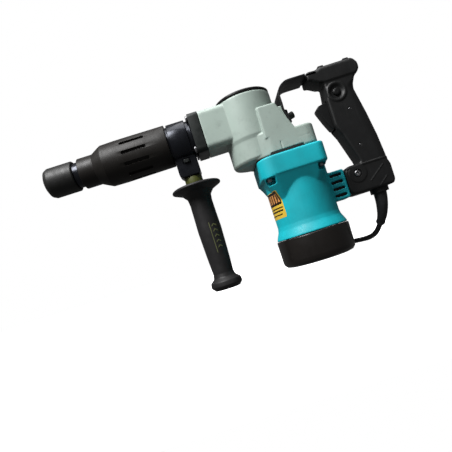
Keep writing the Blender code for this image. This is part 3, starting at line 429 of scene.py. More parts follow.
def inset_outline(outline, distance, fixed_x=None):
    """The outline moved inwards by a distance, except for an edge that stands at fixed_x."""
    moved = []
    turn = 1 if signed_area(outline) > 0 else -1
    count = len(outline)
    for k in range(count):
        corners = [Vector(outline[(k + step) % count]) for step in (-1, 0, 1)]
        lines = []
        for start, end in zip(corners, corners[1:]):
            along = (end - start).normalized()
            inward = Vector((-along.y, along.x)) * turn
            flat = fixed_x is not None and start.x == end.x == fixed_x
            lines.append((start + inward * (0 if flat else distance), along))
        (first, way), (second, other) = lines
        cross = way.x * other.y - way.y * other.x
        gap = second - first
        reach = (gap.x * other.y - gap.y * other.x) / cross if abs(cross) > 1e-6 else gap.dot(way)
        moved.append(tuple(first + way * reach))
    return moved


def lofted(name, levels, axis="Z", paint=None):
    """A solid through outlines with the same number of points; each level is (distance, outline)."""
    count = len(levels[0][1])
    points = []
    faces = []
    for along, outline in levels:
        for a, b in outline:
            points.append({"Z": (a, b, along), "Y": (a, along, b), "X": (along, a, b)}[axis])
    for first in range(0, count * (len(levels) - 1), count):
        for k in range(count):
            nxt = (k + 1) % count
            faces.append((first + k, first + nxt, first + count + nxt, first + count + k))
    faces.append(tuple(range(count - 1, -1, -1)))
    faces.append(tuple(range(len(points) - count, len(points))))
    return mesh_piece(name, points, faces, paint)


def slab(name, outline, low, high, rounding=0.0, axis="Z", paint=None):
    """An outline pushed along an axis, with its rims rounded: (x, y) for Z, (x, z) for Y, (y, z) for X."""
    if not rounding:
        return lofted(name, [(low, outline), (high, outline)], axis, paint)
    levels = []
    for end, way in ((low, 1), (high, -1)):
        rim = []
        for degrees in (0, 22.5, 45, 67.5, 90):
            angle = math.radians(degrees)
            inset = rounding * (1 - math.sin(angle))
            rim.append((end + way * rounding * (1 - math.cos(angle)), inset_outline(outline, inset)))
        levels += rim if way > 0 else rim[::-1]
    return lofted(name, levels, axis, paint)


def rectangle(x, y, radius, steps=8):
    corners = [(x[1], y[1]), (x[0], y[1]), (x[0], y[0]), (x[1], y[0])]
    return filleted(corners, radius, steps) if radius else corners


def block(name, x, y, z, rounding=0.0, corner=0.0, paint=None):
    return slab(name, rectangle(x, y, corner), z[0], z[1], rounding, "Z", paint)


def plain_profile(radius, start, end):
    return [(0, start), (radius, start), (radius, end), (0, end)]


def rod(name, radius, start, end, centre, direction, paint=None, steps=48, fillet=0.0):
    return turned(name, plain_profile(radius, start, end), centre, direction, paint, steps, fillet)


def hexagon(middle_a, middle_b, radius):
    corners = [math.pi * k / 3 for k in range(6)]
    return [(middle_a + radius * math.cos(a), middle_b + radius * math.sin(a)) for a in corners]


def settle(piece):
    """Makes a piece's modifiers part of its mesh."""
    graph = bpy.context.evaluated_depsgraph_get()
    mesh = bpy.data.meshes.new_from_object(piece.evaluated_get(graph))
    piece.modifiers.clear()
    piece.data = mesh


def combined(target, tools, operation, solver):
    """The target after each tool in turn is added or taken away; the tools are used up."""
    for tool in tools:
        change = target.modifiers.new("change", "BOOLEAN")
        change.operation = operation
        change.object = tool
        change.solver = solver
        settle(target)
        bpy.data.objects.remove(tool)
    return target


def cut(target, *tools, solver="EXACT"):
    return combined(target, tools, "DIFFERENCE", solver)


def join(target, *tools, solver="EXACT"):
    return combined(target, tools, "UNION", solver)


def melted(piece, grain, passes=4, keep=0.45):
    """The piece with a skin of even small faces, so that every edge and inner corner has a soft radius."""
    skin = piece.modifiers.new("skin", "REMESH")
    skin.mode = "VOXEL"
    skin.voxel_size = grain * MM
    flow = piece.modifiers.new("flow", "SMOOTH")
    flow.factor = 0.5
    flow.iterations = passes
    fewer = piece.modifiers.new("fewer", "DECIMATE")
    fewer.ratio = keep
    settle(piece)
    shade(piece, 60)
    return piece


def bevelled(piece, width, steps=2, degrees=40):
    change = piece.modifiers.new("edges", "BEVEL")
    change.width = width * MM
    change.segments = steps
    change.limit_method = "ANGLE"
    change.angle_limit = math.radians(degrees)
    settle(piece)
    shade(piece)
    return piece


def repaint(piece, paint):
    piece.data.materials.clear()
    piece.data.materials.append(paint)


def stand_in(piece, body, slot, *nodes):
    """The piece rides on a body and stands for CAD nodes, which are hidden; slot is not used."""
    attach(piece, body)
    if nodes:
        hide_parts(*nodes)
    return piece


def finished(piece, paint, body, slot, *nodes):
    repaint(piece, paint)
    return stand_in(piece, body, slot, *nodes)


# Power cord: one length of cord from the guard, along the floor and round the coil

CORD_R = 3.75
EXIT_X = 105.3
FLOOR_GAP = 0.1
COIL_MIDDLE = Vector((*middle("cord_coil").xy, 0))
COIL_R = 42.0
COIL_STEPS = 40
COIL_LAYOUT = ((1, 0), (0, 0), (-1, 0), (-1, 1), (0, 1), (1, 1), (1, 2), (0, 2), (-1, 2))
TURN_GAP = 2 * CORD_R + 0.02
TOUCH_DOWN = math.radians(8)


def spline_through(knots, spacing):
    """Points at even spacing along a smooth curve through the knots."""
    ends = [knots[0] * 2 - knots[1]] + knots + [knots[-1] * 2 - knots[-2]]
    fine = []
    for k in range(1, len(ends) - 2):
        a, b, c, d = ends[k - 1 : k + 3]
        for step in range(40):
            t = step / 40
            bend = (2 * a - 5 * b + 4 * c - d) * t**2 + (3 * b - 3 * c + d - a) * t**3
            fine.append(0.5 * (2 * b + (c - a) * t + bend))
    fine.append(knots[-1])
    kept = [fine[0]]
    walked = 0.0
    for before, after in zip(fine, fine[1:]):
        walked += (after - before).length
        if walked >= spacing:
            kept.append(after)
            walked = 0.0
    kept[-1] = fine[-1]
    return kept


def tube(name, route, radius, paint, steps):
    shape = bpy.data.curves.new(name, "CURVE")
    shape.dimensions = "3D"
    shape.bevel_depth = radius * MM
    shape.bevel_resolution = steps
    shape.use_fill_caps = True
    shape.materials.append(paint)
    line = shape.splines.new("POLY")
    line.points.add(len(route) - 1)
    for k, spot in enumerate(route):
        line.points[k].co = (*(spot * MM), 1.0)
    line.use_smooth = True
    made = bpy.data.objects.new(name, shape)
    scene.collection.objects.link(made)
    return made


def swept(name, route, radii, paint, steps=32):
    """A round skin along a route with its own radius at every point, closed at both ends."""
    points = []
    faces = []
    along = (route[1] - route[0]).normalized()
    side = along.orthogonal().normalized()
    for k, spot in enumerate(route):
        way = (route[min(k + 1, len(route) - 1)] - route[max(k - 1, 0)]).normalized()
        side = (side - way * side.dot(way)).normalized()
        other = way.cross(side)
        for step in range(steps):
            angle = 2 * math.pi * step / steps
            points.append(spot + (side * math.cos(angle) + other * math.sin(angle)) * radii[k])
    for first in range(0, steps * (len(route) - 1), steps):
        for k in range(steps):
            nxt = (k + 1) % steps
            faces.append((first + k, first + nxt, first + steps + nxt, first + steps + k))
    faces.append(tuple(range(steps - 1, -1, -1)))
    faces.append(tuple(range(len(points) - steps, len(points))))
    return mesh_piece(name, points, faces, paint)


guard_knots = [
    Vector((EXIT_X, 0.0, 68.0)),
    Vector((EXIT_X - 0.6, 0.0, 56.0)),
    Vector((EXIT_X - 1.8, 2.0, 44.0)),
    Vector((EXIT_X - 3.4, 8.0, 31.5)),
    Vector((EXIT_X - 5.4, 18.0, 21.0)),
]


def on_turn(radius, angle, height):
    return COIL_MIDDLE + Vector((radius * math.cos(angle), radius * math.sin(angle), height))


def coil_route():
    """Points round the nine turns: three side by side at the floor, and two more rows on top of them."""
    spots = []
    for number, (column, layer) in enumerate(COIL_LAYOUT):
        after = COIL_LAYOUT[min(number + 1, len(COIL_LAYOUT) - 1)]
        for step in range(COIL_STEPS):
            share = step / COIL_STEPS
            shift = max(0.0, (share - 0.8) / 0.2)
            ease = shift * shift * (3 - 2 * shift)
            across = column + (after[0] - column) * ease
            level = layer + (after[1] - layer) * ease
            angle = TOUCH_DOWN + 2 * math.pi * share
            height = CORD_R + FLOOR_GAP + level * TURN_GAP
            spots.append(on_turn(COIL_R + across * TURN_GAP, angle, height))
    return spots


guard_line = spline_through(guard_knots, 1.0)
feed_knots = [Vector((EXIT_X, 0.0, 61.5)), *guard_knots[1:]] + [
    Vector((EXIT_X - 9.6, 38.0, 8.4)),
    Vector((EXIT_X - 15.0, 62.0, CORD_R + FLOOR_GAP)),
    on_turn(COIL_R + TURN_GAP + 3.0, TOUCH_DOWN - 0.55, CORD_R + FLOOR_GAP),
    on_turn(COIL_R + TURN_GAP, TOUCH_DOWN, CORD_R + FLOOR_GAP),
]
feed_line = spline_through(feed_knots, 4.0)
cord = tube("power_cord_full", feed_line[:-1] + coil_route(), CORD_R, CORD_RUBBER, 5)
stand_in(cord, "frame", "rubber", "power_cord", "cord_coil")

GUARD_R = 9.2
GUARD_TAPER = 0.40
guard_radii = []
for k in range(len(guard_line)):
    share = k / (len(guard_line) - 1)
    lip = 0.9 * max(0.0, 1 - abs(share - 0.965) / 0.035)
    guard_radii.append(GUARD_R * (1.0 - GUARD_TAPER * share) + lip)
guard = swept("cord_guard_taper", guard_line, guard_radii, GUARD_RUBBER)
stand_in(guard, "frame", "rubber", "cord_guard")

plug_low, plug_high = limits("plug")
plug_outline = [(-26, -5), (-8, -8), (2, -14), (16, -14), (16, 14), (2, 14), (-8, 8), (-26, 5)]
plug_outline = [(x + plug_low.x + 26, y + COIL_MIDDLE.y) for x, y in filleted(plug_outline, 5, 5)]
plug = slab("plug_body", plug_outline, plug_low.z, plug_low.z + 17.0, 2.5)
finished(plug, GUARD_RUBBER, "frame", "rubber", "plug")
for number, side in enumerate((-1, 1), 1):
    spot = (plug_low.x + 26, COIL_MIDDLE.y + side * 9.5, plug_low.z + 8.5)
    pin = rod(f"plug_pin_{number}", 2.4, 12.0, plug_high.x - spot[0], spot, UP_X, BRIGHT_STEEL, 24, 1.0)
    stand_in(pin, "frame", "bright_steel")


# Nose and barrel

BARREL_Z = middle("barrel_sleeve").z
NOSE_X = limits("nose_ring")[0].x


def on_barrel(name, profile, paint=None, steps=128, fillet=0.8):
    """A piece turned about the barrel axis, with its profile as (radius, x)."""
    return turned(name, profile, (0, 0, BARREL_Z), UP_X, paint, steps, fillet)


nose = on_barrel(
    "nose_ring_skin",
    [
        (11.0, NOSE_X + 1.6), (12.2, NOSE_X), (14.0, NOSE_X), (18.4, NOSE_X + 2.2),
        (20.7, NOSE_X + 7.0), (20.7, NOSE_X + 40.3), (19.5, NOSE_X + 41.5), (17.6, NOSE_X + 41.5),
        (17.6, NOSE_X + 18.5), (15.4, NOSE_X + 18.5), (15.4, NOSE_X + 10.5), (17.6, NOSE_X + 10.5),
        (17.6, NOSE_X + 2.9), (11.0, NOSE_X + 2.9),
    ],
    NOSE_RUBBER,
)
stand_in(nose, "nose", "rubber", "nose_ring")

HEX_FLATS = 17.5
holder = on_barrel(
    "tool_holder_skin",
    [
        (0.0, -315.5), (14.0, -315.5), (15.0, -314.5), (15.0, -287.6), (17.2, -287.0),
        (17.2, -270.0), (16.4, -269.0), (16.4, -206.2), (0.0, -206.2),
    ],
    fillet=0.5,
)
cut(
    holder,
    slab("cut_hexagon", hexagon(0, BARREL_Z, HEX_FLATS / math.sqrt(3)), -320, -255, axis="X"),
    on_barrel("cut_shank_bore", plain_profile(6.8, -256, -226), steps=48, fillet=0),
    on_barrel("cut_striker_room", plain_profile(11.3, -230, -200), steps=48, fillet=0),
    block("cut_roller_slot", (-313.4, -308.4), (-4.1, 4.1), (BARREL_Z + 9, BARREL_Z + 18)),
)
bevelled(holder, 0.3)
finished(holder, BARREL_STEEL, "frame", "black_steel", "tool_holder")

SLEEVE_FRONT, SLEEVE_REAR = (corner.x for corner in limits("barrel_sleeve"))
SLEEVE_R = 28.4
SLEEVE_SLOTS = 12
SLOT_TURN = math.radians(-5)
sleeve = on_barrel(
    "barrel_sleeve_skin",
    [
        (18.3, SLEEVE_FRONT), (20.9, SLEEVE_FRONT), (20.9, -254.0), (26.5, -243.5),
        (SLEEVE_R, -239.5), (28.9, -220.0), (SLEEVE_R, -160.0), (SLEEVE_R, SLEEVE_REAR),
        (24.9, SLEEVE_REAR), (24.9, -238.0), (18.3, -249.0),
    ],
)
for k in range(SLEEVE_SLOTS):
    slot = block(f"cut_sleeve_slot_{k + 1}", (-212, -178), (-2.4, 2.4), (25.6, 33.0), 0, 2.3)
    slot.data.transform(
        Matrix.Translation((0, 0, BARREL_Z * MM))
        @ Matrix.Rotation(2 * math.pi * k / SLEEVE_SLOTS + SLOT_TURN, 4, "X")
    )
    cut(sleeve, slot)
bevelled(sleeve, 0.4)
finished(sleeve, SLEEVE_BLACK, "frame", "black_plastic", "barrel_sleeve")

FLANGE_X = (-115.8, limits("barrel")[1].x)
NECK_HALF = 27.0
BOLT_OFFSET = 20.6
BOLT_CORNERS = ((-1, 1), (1, 1), (1, -1), (-1, -1))
barrel = on_barrel(
    "barrel_tube",
    [
        (16.7, -268.0), (18.0, -268.0), (18.0, -248.6), (24.6, -237.0), (24.6, -117.4),
        (26.6, FLANGE_X[0]), (26.6, -108.0), (20.3, -108.0), (20.3, -205.6), (16.7, -205.6),
    ],
    BARREL_STEEL,
)
stand_in(barrel, "frame", "black_steel", "barrel")
flange = slab(
    "barrel_flange_plate",
    rectangle((-NECK_HALF, NECK_HALF), (BARREL_Z - NECK_HALF, BARREL_Z + NECK_HALF), 6.0, 6),
    *FLANGE_X,
    1.0,
    "X",
)
cut(flange, on_barrel("cut_flange_bore", plain_profile(22, -120, -95), fillet=0))
finished(flange, FLANGE_STEEL, "frame", "black_steel", "barrel")

for number, (side, level) in enumerate(BOLT_CORNERS, 1):
    node = f"barrel_bolt_{number}"
    head_x = limits(node)[0].x
    spot = (0, side * BOLT_OFFSET, BARREL_Z + level * BOLT_OFFSET)
    head = turned(
        f"{node}_head",
        [
            (0, head_x), (3.9, head_x), (4.4, head_x + 0.5), (4.4, head_x + 2.8),
            (2.4, head_x + 2.8), (2.4, head_x + 30.9), (0, head_x + 30.9),
        ],
        spot,
        UP_X,
        steps=48,
        fillet=0.3,
    )
    cut(head, slab("cut_socket", hexagon(spot[1], spot[2], 2.4), head_x - 1, head_x + 2.2, axis="X"))
    finished(head, SCREW_STEEL, "frame", "black_steel", node)


# Crank housing

CRANK = middle("crank_cap")
CRANK_TOP = limits("crank_housing")[1].z
CASE_LOW = limits("crank_housing")[0].z
CRANK_WALL_R = 37.2
CRANK_RIM_R = 38.5
CASE_HALF = 42.0


def at_crank(name, profile, paint=None, steps=128, fillet=1.0):
    return turned(name, profile, (CRANK.x, 0, 0), UP_Z, paint, steps, fillet)


def with_far_side(near_half):
    return near_half + [(x, -y) for x, y in reversed(near_half)]


housing = at_crank(
    "crank_housing_casting",
    [
        (0, CASE_LOW + 0.4), (30.0, CASE_LOW + 0.4), (35.4, CASE_LOW + 2.0),
        (CRANK_WALL_R, CASE_LOW + 5.2), (CRANK_WALL_R, 176.0), (CRANK_RIM_R, 181.0),
        (CRANK_RIM_R, CRANK_TOP), (0, CRANK_TOP),
    ],
    fillet=2.0,
)
near_shoulder = [(-49.0, -33.6), (-24.0, -CASE_HALF)]
near_corner = [(24.0, -CASE_HALF), (32.0, -39.5), (36.0, -32.0)]
case_outline = with_far_side([(-54.0, -25.0), *near_shoulder, *near_corner])
shelf_outline = with_far_side([*near_shoulder, (4.0, -CASE_HALF)])
block_outline = [(-29.8, 168.0), (12.6, 168.0), (9.8, 176.0), (-4.6, 210.3), (-28.4, 210.3)]
pad_outline = [(-20.0, 180.0), (13.1, 180.0), (12.0, 184.2), (7.2, 203.0), (7.2, 209.5), (-20.0, 209.5)]
neck_outline = rectangle((-NECK_HALF, NECK_HALF), (BARREL_Z - NECK_HALF, CRANK_TOP), 7.0, 6)
join(
    housing,
    slab("neck", neck_outline, FLANGE_X[1] + 0.3, -50.0, 0.8, "X"),
    bevelled(slab("gear_case", filleted(case_outline, 14, 4), CASE_LOW, 173.0), 2.6, 4, 50),
    bevelled(slab("case_shelf", filleted(shelf_outline, 14, 4), 150.0, 178.8), 2.6, 4, 50),
    bevelled(slab("strap_block", block_outline, -CASE_HALF, CASE_HALF, axis="Y"), 2.0, 4, 15),
    slab("strap_pad", pad_outline, -21.5, 21.5, 0.0, "Y"),
    solver="MANIFOLD",
)
cut(
    housing,
    at_crank("cut_chamber", plain_profile(35.3, 158, 250), fillet=0),
    on_barrel("cut_neck_bore", plain_profile(20.3, -110, -55), fillet=0),
    rod("cut_pinion_room", 8.6, 140.0, 176.0, (0, 0, 0), UP_Z),
    block("cut_gasket_window", (-28.0, 16.0), (-45.0, -38.6), (144.0, 149.9)),
    block("cut_rib_line", (-12.4, -11.1), (-45.0, -40.9), (149.0, 160.5)),
    block("cut_parting_line", (10.5, 38.0), (-45.0, -41.0), (157.9, 159.1)),
    solver="MANIFOLD",
)
melted(housing, 0.62, 5)
finished(housing, SAGE, "frame", "aluminium", "crank_housing")

CAP_LOW, CAP_TOP = (corner.z for corner in limits("crank_cap"))
CAP_R = 38.3
cap = at_crank(
    "crank_cap_lid",
    [
        (0, CAP_LOW), (35.0, CAP_LOW), (35.0, CRANK_TOP + 0.4), (CAP_R, CRANK_TOP + 0.4),
        (CAP_R, CRANK_TOP + 3.2), (CAP_R - 2.2, CAP_TOP - 0.2), (30.0, CAP_TOP),
        (28.0, CAP_TOP - 0.9), (0, CAP_TOP - 0.9),
    ],
    CAP_BLACK,
    fillet=0.9,
)
stand_in(cap, "frame", "gloss_black", "crank_cap")


# Motor housing

SEAM_Z = limits("motor_housing")[0].z
FLANGE_LOW = 119.5
FLANGE_TOP = limits("motor_housing")[1].z
MOTOR_X = (-48.2, 39.2)
MOTOR_Y = (-49.0, 49.0)
TAPER_LOW = 84.0
TAPER_INSET = 17.5
BRACKET_SLOTS = (73.4, 82.6, 91.8, 101.0)
BRACKET_HALF = 13.5
POCKET_R = 5.6
POCKET_Z = (110.8, 119.6)
MOTOR_R = 42.8
MOTOR_SCREWS = [middle(f"motor_screw_{k}") for k in (1, 2, 3, 4)]
motor = turned(
    "motor_housing_shell",
    [
        (0, SEAM_Z), (48.6, SEAM_Z), (48.6, SEAM_Z + 1.5), (46.8, SEAM_Z + 6.0),
        (43.8, SEAM_Z + 12.5), (MOTOR_R, SEAM_Z + 18.0), (MOTOR_R, 124.0), (0, 124.0),
    ],
    (0, 0, 0),
    UP_Z,
    steps=128,
    fillet=6.0,
)


def inside_flange(inset_x, inset_y, barrel_end, handle_end):
    """The flange's outline, with its own corner radius at the barrel's end and at the handle's."""
    x = (MOTOR_X[0] + inset_x, MOTOR_X[1] - inset_x)
    outline = filleted(rectangle(x, (MOTOR_Y[0] + inset_y, MOTOR_Y[1] - inset_y), 0), barrel_end, 8, (0, 3))
    return filleted(outline, handle_end, 8, range(1, len(outline) - 1))


bracket_outline = rectangle((36.0, 62.2), (67.4, 106.9), 2.4, 4)
join(
    motor,
    slab("motor_flange", inside_flange(0, 0, 20.0, 11.0), FLANGE_LOW, FLANGE_TOP, 2.5),
    lofted(
        "flange_taper",
        [
            (TAPER_LOW, inside_flange(TAPER_INSET, TAPER_INSET, 11.2, 11.2)),
            (FLANGE_LOW + 1.0, inside_flange(2.0, 0.8, 15.0, 10.0)),
        ],
    ),
    slab("handle_bracket", bracket_outline, -BRACKET_HALF, BRACKET_HALF, 1.6, "Y"),
)
cut(
    motor,
    rod("cut_stator_room", 39.6, 30.0, 106.0, (0, 0, 0), UP_Z, steps=96),
    rod("cut_fan_room", 36.6, 100.0, 131.0, (0, 0, 0), UP_Z, steps=96),
    rod("cut_upper_seat", 13.4, 125.0, 142.0, (0, 0, 0), UP_Z),
    rod("cut_shaft_hole", 8.6, 135.0, 155.0, (0, 0, 0), UP_Z),
)
for number, height in enumerate(BRACKET_SLOTS, 1):
    slot_outline = rectangle((41.8, 58.3), (height - 1.9, height + 1.9), 0.8, 3)
    cut(motor, slab(f"cut_bracket_slot_{number}", slot_outline, -20, 20, axis="Y"))
for number, spot in enumerate(MOTOR_SCREWS, 1):
    outward = sorted((spot.y, math.copysign(52.0, spot.y)))
    mouth = block(f"cut_pocket_mouth_{number}", (spot.x - POCKET_R, spot.x + POCKET_R), outward, POCKET_Z)
    cut(motor, rod(f"cut_screw_pocket_{number}", POCKET_R, *POCKET_Z, (spot.x, spot.y, 0), UP_Z), mouth)
melted(motor, 0.75, 5, 0.4)
finished(motor, TEAL, "frame", "teal_plastic", "motor_housing")


def cross_recess(name, centre, direction, start, depth, reach=2.0, width=0.9):
    """The two crossed blades that cut a screw's recess, from start to depth along the direction."""
    turn = UP_Z.rotation_difference(Vector(direction)).to_matrix().to_4x4()
    blades = []
    for number, (x, y) in enumerate(((reach, width), (width, reach)), 1):
        blade = block(f"{name}_{number}", (-x / 2, x / 2), (-y / 2, y / 2), (start, depth))
        blade.data.transform(Matrix.Translation(Vector(centre) * MM) @ turn)
        blades.append(blade)
    return blades


def upright_screw(node, head_r, shank_r, rim, head, length, recess, fillet):
    """A motor or cover screw with its head down: rim is the head's chamfer as (width, height)."""
    spot = (*middle(node).xy, 0)
    low = limits(node)[0].z
    profile = [
        (0, low), (head_r - rim[0], low), (head_r, low + rim[1]), (head_r, low + head),
        (shank_r, low + head), (shank_r, low + length), (0, low + length),
    ]
    screw = turned(f"{node}_head", profile, spot, UP_Z, steps=48, fillet=fillet)
    depth, reach = recess
    cut(screw, *cross_recess("cut_recess", spot, UP_Z, low - 1, low + depth, reach, 1.1))
    finished(screw, SCREW_STEEL, "frame", "bright_steel", node)


for number in (1, 2, 3, 4):
    upright_screw(f"motor_screw_{number}", 4.2, 2.2, (0.6, 0.7), 4.4, 30, (1.8, 4.6), 0.4)

core = block("bracket_core", (41.0, 59.0), (-10.5, 10.5), (70.0, 104.0), 0.5, 1.0)
finished(core, HANDLE_BLACK, "frame", "black_plastic")

gasket_outline = rectangle((-47.4, 35.4), (-41.0, 41.0), 9.0, 8)
gasket = slab("housing_gasket_strip", gasket_outline, FLANGE_TOP + 0.25, CASE_LOW - 0.25)
tongue = block("gasket_tongue", (-27.5, 15.5), (-41.9, -39.0), (FLANGE_TOP + 0.4, 149.6), 0.5, 0.8)
join(gasket, tongue)
finished(gasket, FIBRE, "frame", "fibre", "housing_gasket")


# Rear cover

COVER_R = 49.8
COVER_SLOTS = 16
cover = turned(
    "rear_cover_shell",
    [
        (0, 1.2), (38.0, 1.2), (38.8, 0), (40.5, 0), (46.0, 1.4), (COVER_R - 0.8, 4.6),
        (COVER_R, 9.0), (COVER_R, SEAM_Z - 0.3), (46.2, SEAM_Z - 0.3), (46.2, 9.0), (42.0, 4.6),
        (13.6, 4.6), (13.6, 13.0), (11.2, 13.0), (11.2, 5.2), (0, 5.2),
    ],
    (0, 0, 0),
    UP_Z,
    steps=160,
    fillet=1.6,
)
for k in range(COVER_SLOTS):
    degrees = 360 * (k + 0.5) / COVER_SLOTS
    slot = block(f"cut_cover_slot_{k + 1}", (16.0, 30.0), (-1.3, 1.3), (-2.0, 8.0), 0, 1.25)
    slot.data.transform(Matrix.Rotation(math.radians(degrees), 4, "Z"))
    cut(cover, slot)
for number in (1, 2):
    spot = middle(f"rear_cover_screw_{number}")
    cut(cover, rod(f"cut_cover_head_{number}", 4.4, -2, 3.3, (spot.x, spot.y, 0), UP_Z))
bevelled(cover, 0.35)
finished(cover, COVER_BLACK, "frame", "gloss_black", "rear_cover")
for number in (1, 2):
    upright_screw(f"rear_cover_screw_{number}", 3.9, 1.9, (0.5, 0.5), 2, 48, (1.4, 4.4), 0.3)


# Handle shells: each is a height over the seam plane, rounded towards the outline

HANDLE_HALF = 17.0
HANDLE_FRONT = 62.5
SEAM = 0.15
HANDLE_OUTLINE = [
    (51.6, 244.3), (66.5, 243.5), (72.5, 245.7), (116.5, 245.7), (121.0, 242.2), (123.1, 237.5),
    (123.1, 228.6), (119.4, 224.0), (114.6, 220.6), (111.7, 214.4), (110.6, 204.9), (117.2, 169.6),
    (122.1, 136.5), (124.6, 109.0), (125.1, 94.0), (125.1, 73.0), (122.4, 67.8),
    (HANDLE_FRONT, 67.8), (HANDLE_FRONT, 106.9), (87.4, 106.9), (86.0, 114.0), (81.3, 129.8),
    (75.2, 150.2), (71.0, 159.2), (69.4, 164.4), (69.4, 199.0), (71.3, 214.4), (72.1, 223.0),
    (66.8, 224.2), (56.8, 229.9), (51.6, 230.3),
]
BUTTON = middle("lock_button")
HANDLE_SCREW = middle("handle_screw")
PANEL_Z = (105.4, 223.5)
PANEL_DEPTH = 1.5
ARM_DEPTH = 0.8
SMALL_SCREWS = ((94.5, 180.0), (93.6, 130.1))
ARM_RIBS = (((113.9, 96.2), (92.4, 79.6)), ((114.5, 79.9), (101.2, 68.6)))
GRIP_ROOM = [(77.5, 153.0), (80.5, 147.0), (91.5, 108.0), (119.5, 108.0), (105.5, 200.0), (75.0, 200.0)]
ARM_ROOM = [(66.5, 71.8), (120.0, 71.8), (120.0, 110.0), (93.0, 110.0), (92.0, 102.6), (66.5, 102.6)]
STRAP_ROOM = [(46.0, 237.5), (66.0, 237.5), (66.0, 241.0), (46.0, 241.0)]
TRIGGER_ROOM = [(56.0, 159.7), (77.4, 159.7), (77.4, 201.2), (56.0, 201.2)]
HEELS = ((72.8, 80.6), (107.8, 115.6))


def eased(value, start, end):
    share = np.clip((value - start) / (end - start), 0.0, 1.0)
    return share * share * (3 - 2 * share)


def dense(outline, spacing):
    made = []
    for start, end in zip(outline, outline[1:] + outline[:1]):
        start, end = np.array(start), np.array(end)
        count = max(1, math.ceil(np.linalg.norm(end - start) / spacing))
        made += [start + (end - start) * k / count for k in range(count)]
    return np.array(made)


def edge_distance(points, outline):
    """Each point's distance to a closed outline, and the number of its nearest edge."""
    best = np.full(len(points), np.inf)
    nearest = np.zeros(len(points), int)
    for k, start in enumerate(outline):
        way = outline[(k + 1) % len(outline)] - start
        share = np.clip((points - start) @ way / (way @ way), 0.0, 1.0)
        gap = np.linalg.norm(points - start - share[:, None] * way, axis=1)
        closer = gap < best
        best[closer] = gap[closer]
        nearest[closer] = k
    return best, nearest


def is_inside(points, outline):
    inside = np.zeros(len(points), bool)
    for (x0, z0), (x1, z1) in zip(outline, np.roll(outline, -1, axis=0)):
        spans = (z0 > points[:, 1]) != (z1 > points[:, 1])
        if z0 != z1:
            inside ^= spans & (points[:, 0] < (x1 - x0) * (points[:, 1] - z0) / (z1 - z0) + x0)
    return inside


def outline_ways(outline):
    """The unit direction along the outline at each point, with the inside on its left."""
    turn = 1 if signed_area([tuple(p) for p in outline]) > 0 else -1
    ways = (np.roll(outline, -1, axis=0) - np.roll(outline, 1, axis=0)) * turn
    return ways / np.linalg.norm(ways, axis=1)[:, None]


def round_widths(outline):
    """How far in the rounding reaches at each outline point: wide along the back of the grip."""
    facing_back = outline_ways(outline)[:, 1] > 0.6
    grip_height = (outline[:, 1] > 100) & (outline[:, 1] < 212)
    widths = np.where(facing_back & grip_height, 13.0, np.where(outline[:, 1] > 238, 6.5, 3.2))
    flat_front = (outline[:, 0] <= HANDLE_FRONT + 0.01) & (outline[:, 1] < 110)
    widths = np.where(flat_front, 0.8, widths)
    for _ in range(12):
        widths = (np.roll(widths, 1) + widths + np.roll(widths, -1)) / 3
    return widths


def shell_height(points, outline, widths, near):
    """The handle's half thickness over the seam plane at each (x, z) point."""
    x, z = points.T
    gap, edge = edge_distance(points, outline)
    width = widths[edge]
    slope = np.clip(1 - gap / width, 0.0, 1.0)
    drop = np.minimum(width, 6.0 + 0.2 * width) * (1 - np.sqrt(1 - np.minimum(slope, 0.995) ** 2))
    height = HANDLE_HALF - drop
    panel = eased(z, PANEL_Z[0] - 0.5, PANEL_Z[0] + 0.5) * (1 - eased(z, PANEL_Z[1] - 2, PANEL_Z[1] + 1.5))
    height -= PANEL_DEPTH * panel
    arm = 1 - eased(z, PANEL_Z[0] - 3.5, PANEL_Z[0] - 1.5)
    boss = 1 - eased(np.hypot(x - HANDLE_SCREW.x, z - HANDLE_SCREW.z), 11.5, 13.0)
    height -= ARM_DEPTH * arm * (1 - boss)
    for start, end in ARM_RIBS:
        start, end = np.array(start), np.array(end)
        way = end - start
        share = np.clip((points - start) @ way / (way @ way), 0.0, 1.0)
        off = np.linalg.norm(points - start - share[:, None] * way, axis=1)
        height += 0.55 * (1 - eased(off, 0.35, 1.0))
    for spot in SMALL_SCREWS:
        off = np.hypot(x - spot[0], z - spot[1])
        height -= 0.9 * (1 - eased(off, 1.6, 2.1)) * near
    if near:
        off = np.hypot(x - BUTTON.x, z - BUTTON.z)
        height += 1.3 * eased(off, 14.5, 12.4) - 2.9 * eased(off, 11.2, 6.6)
        height -= 2.0 * eased(np.hypot(x - HANDLE_SCREW.x, z - HANDLE_SCREW.z), 5.4, 4.9)
    return height


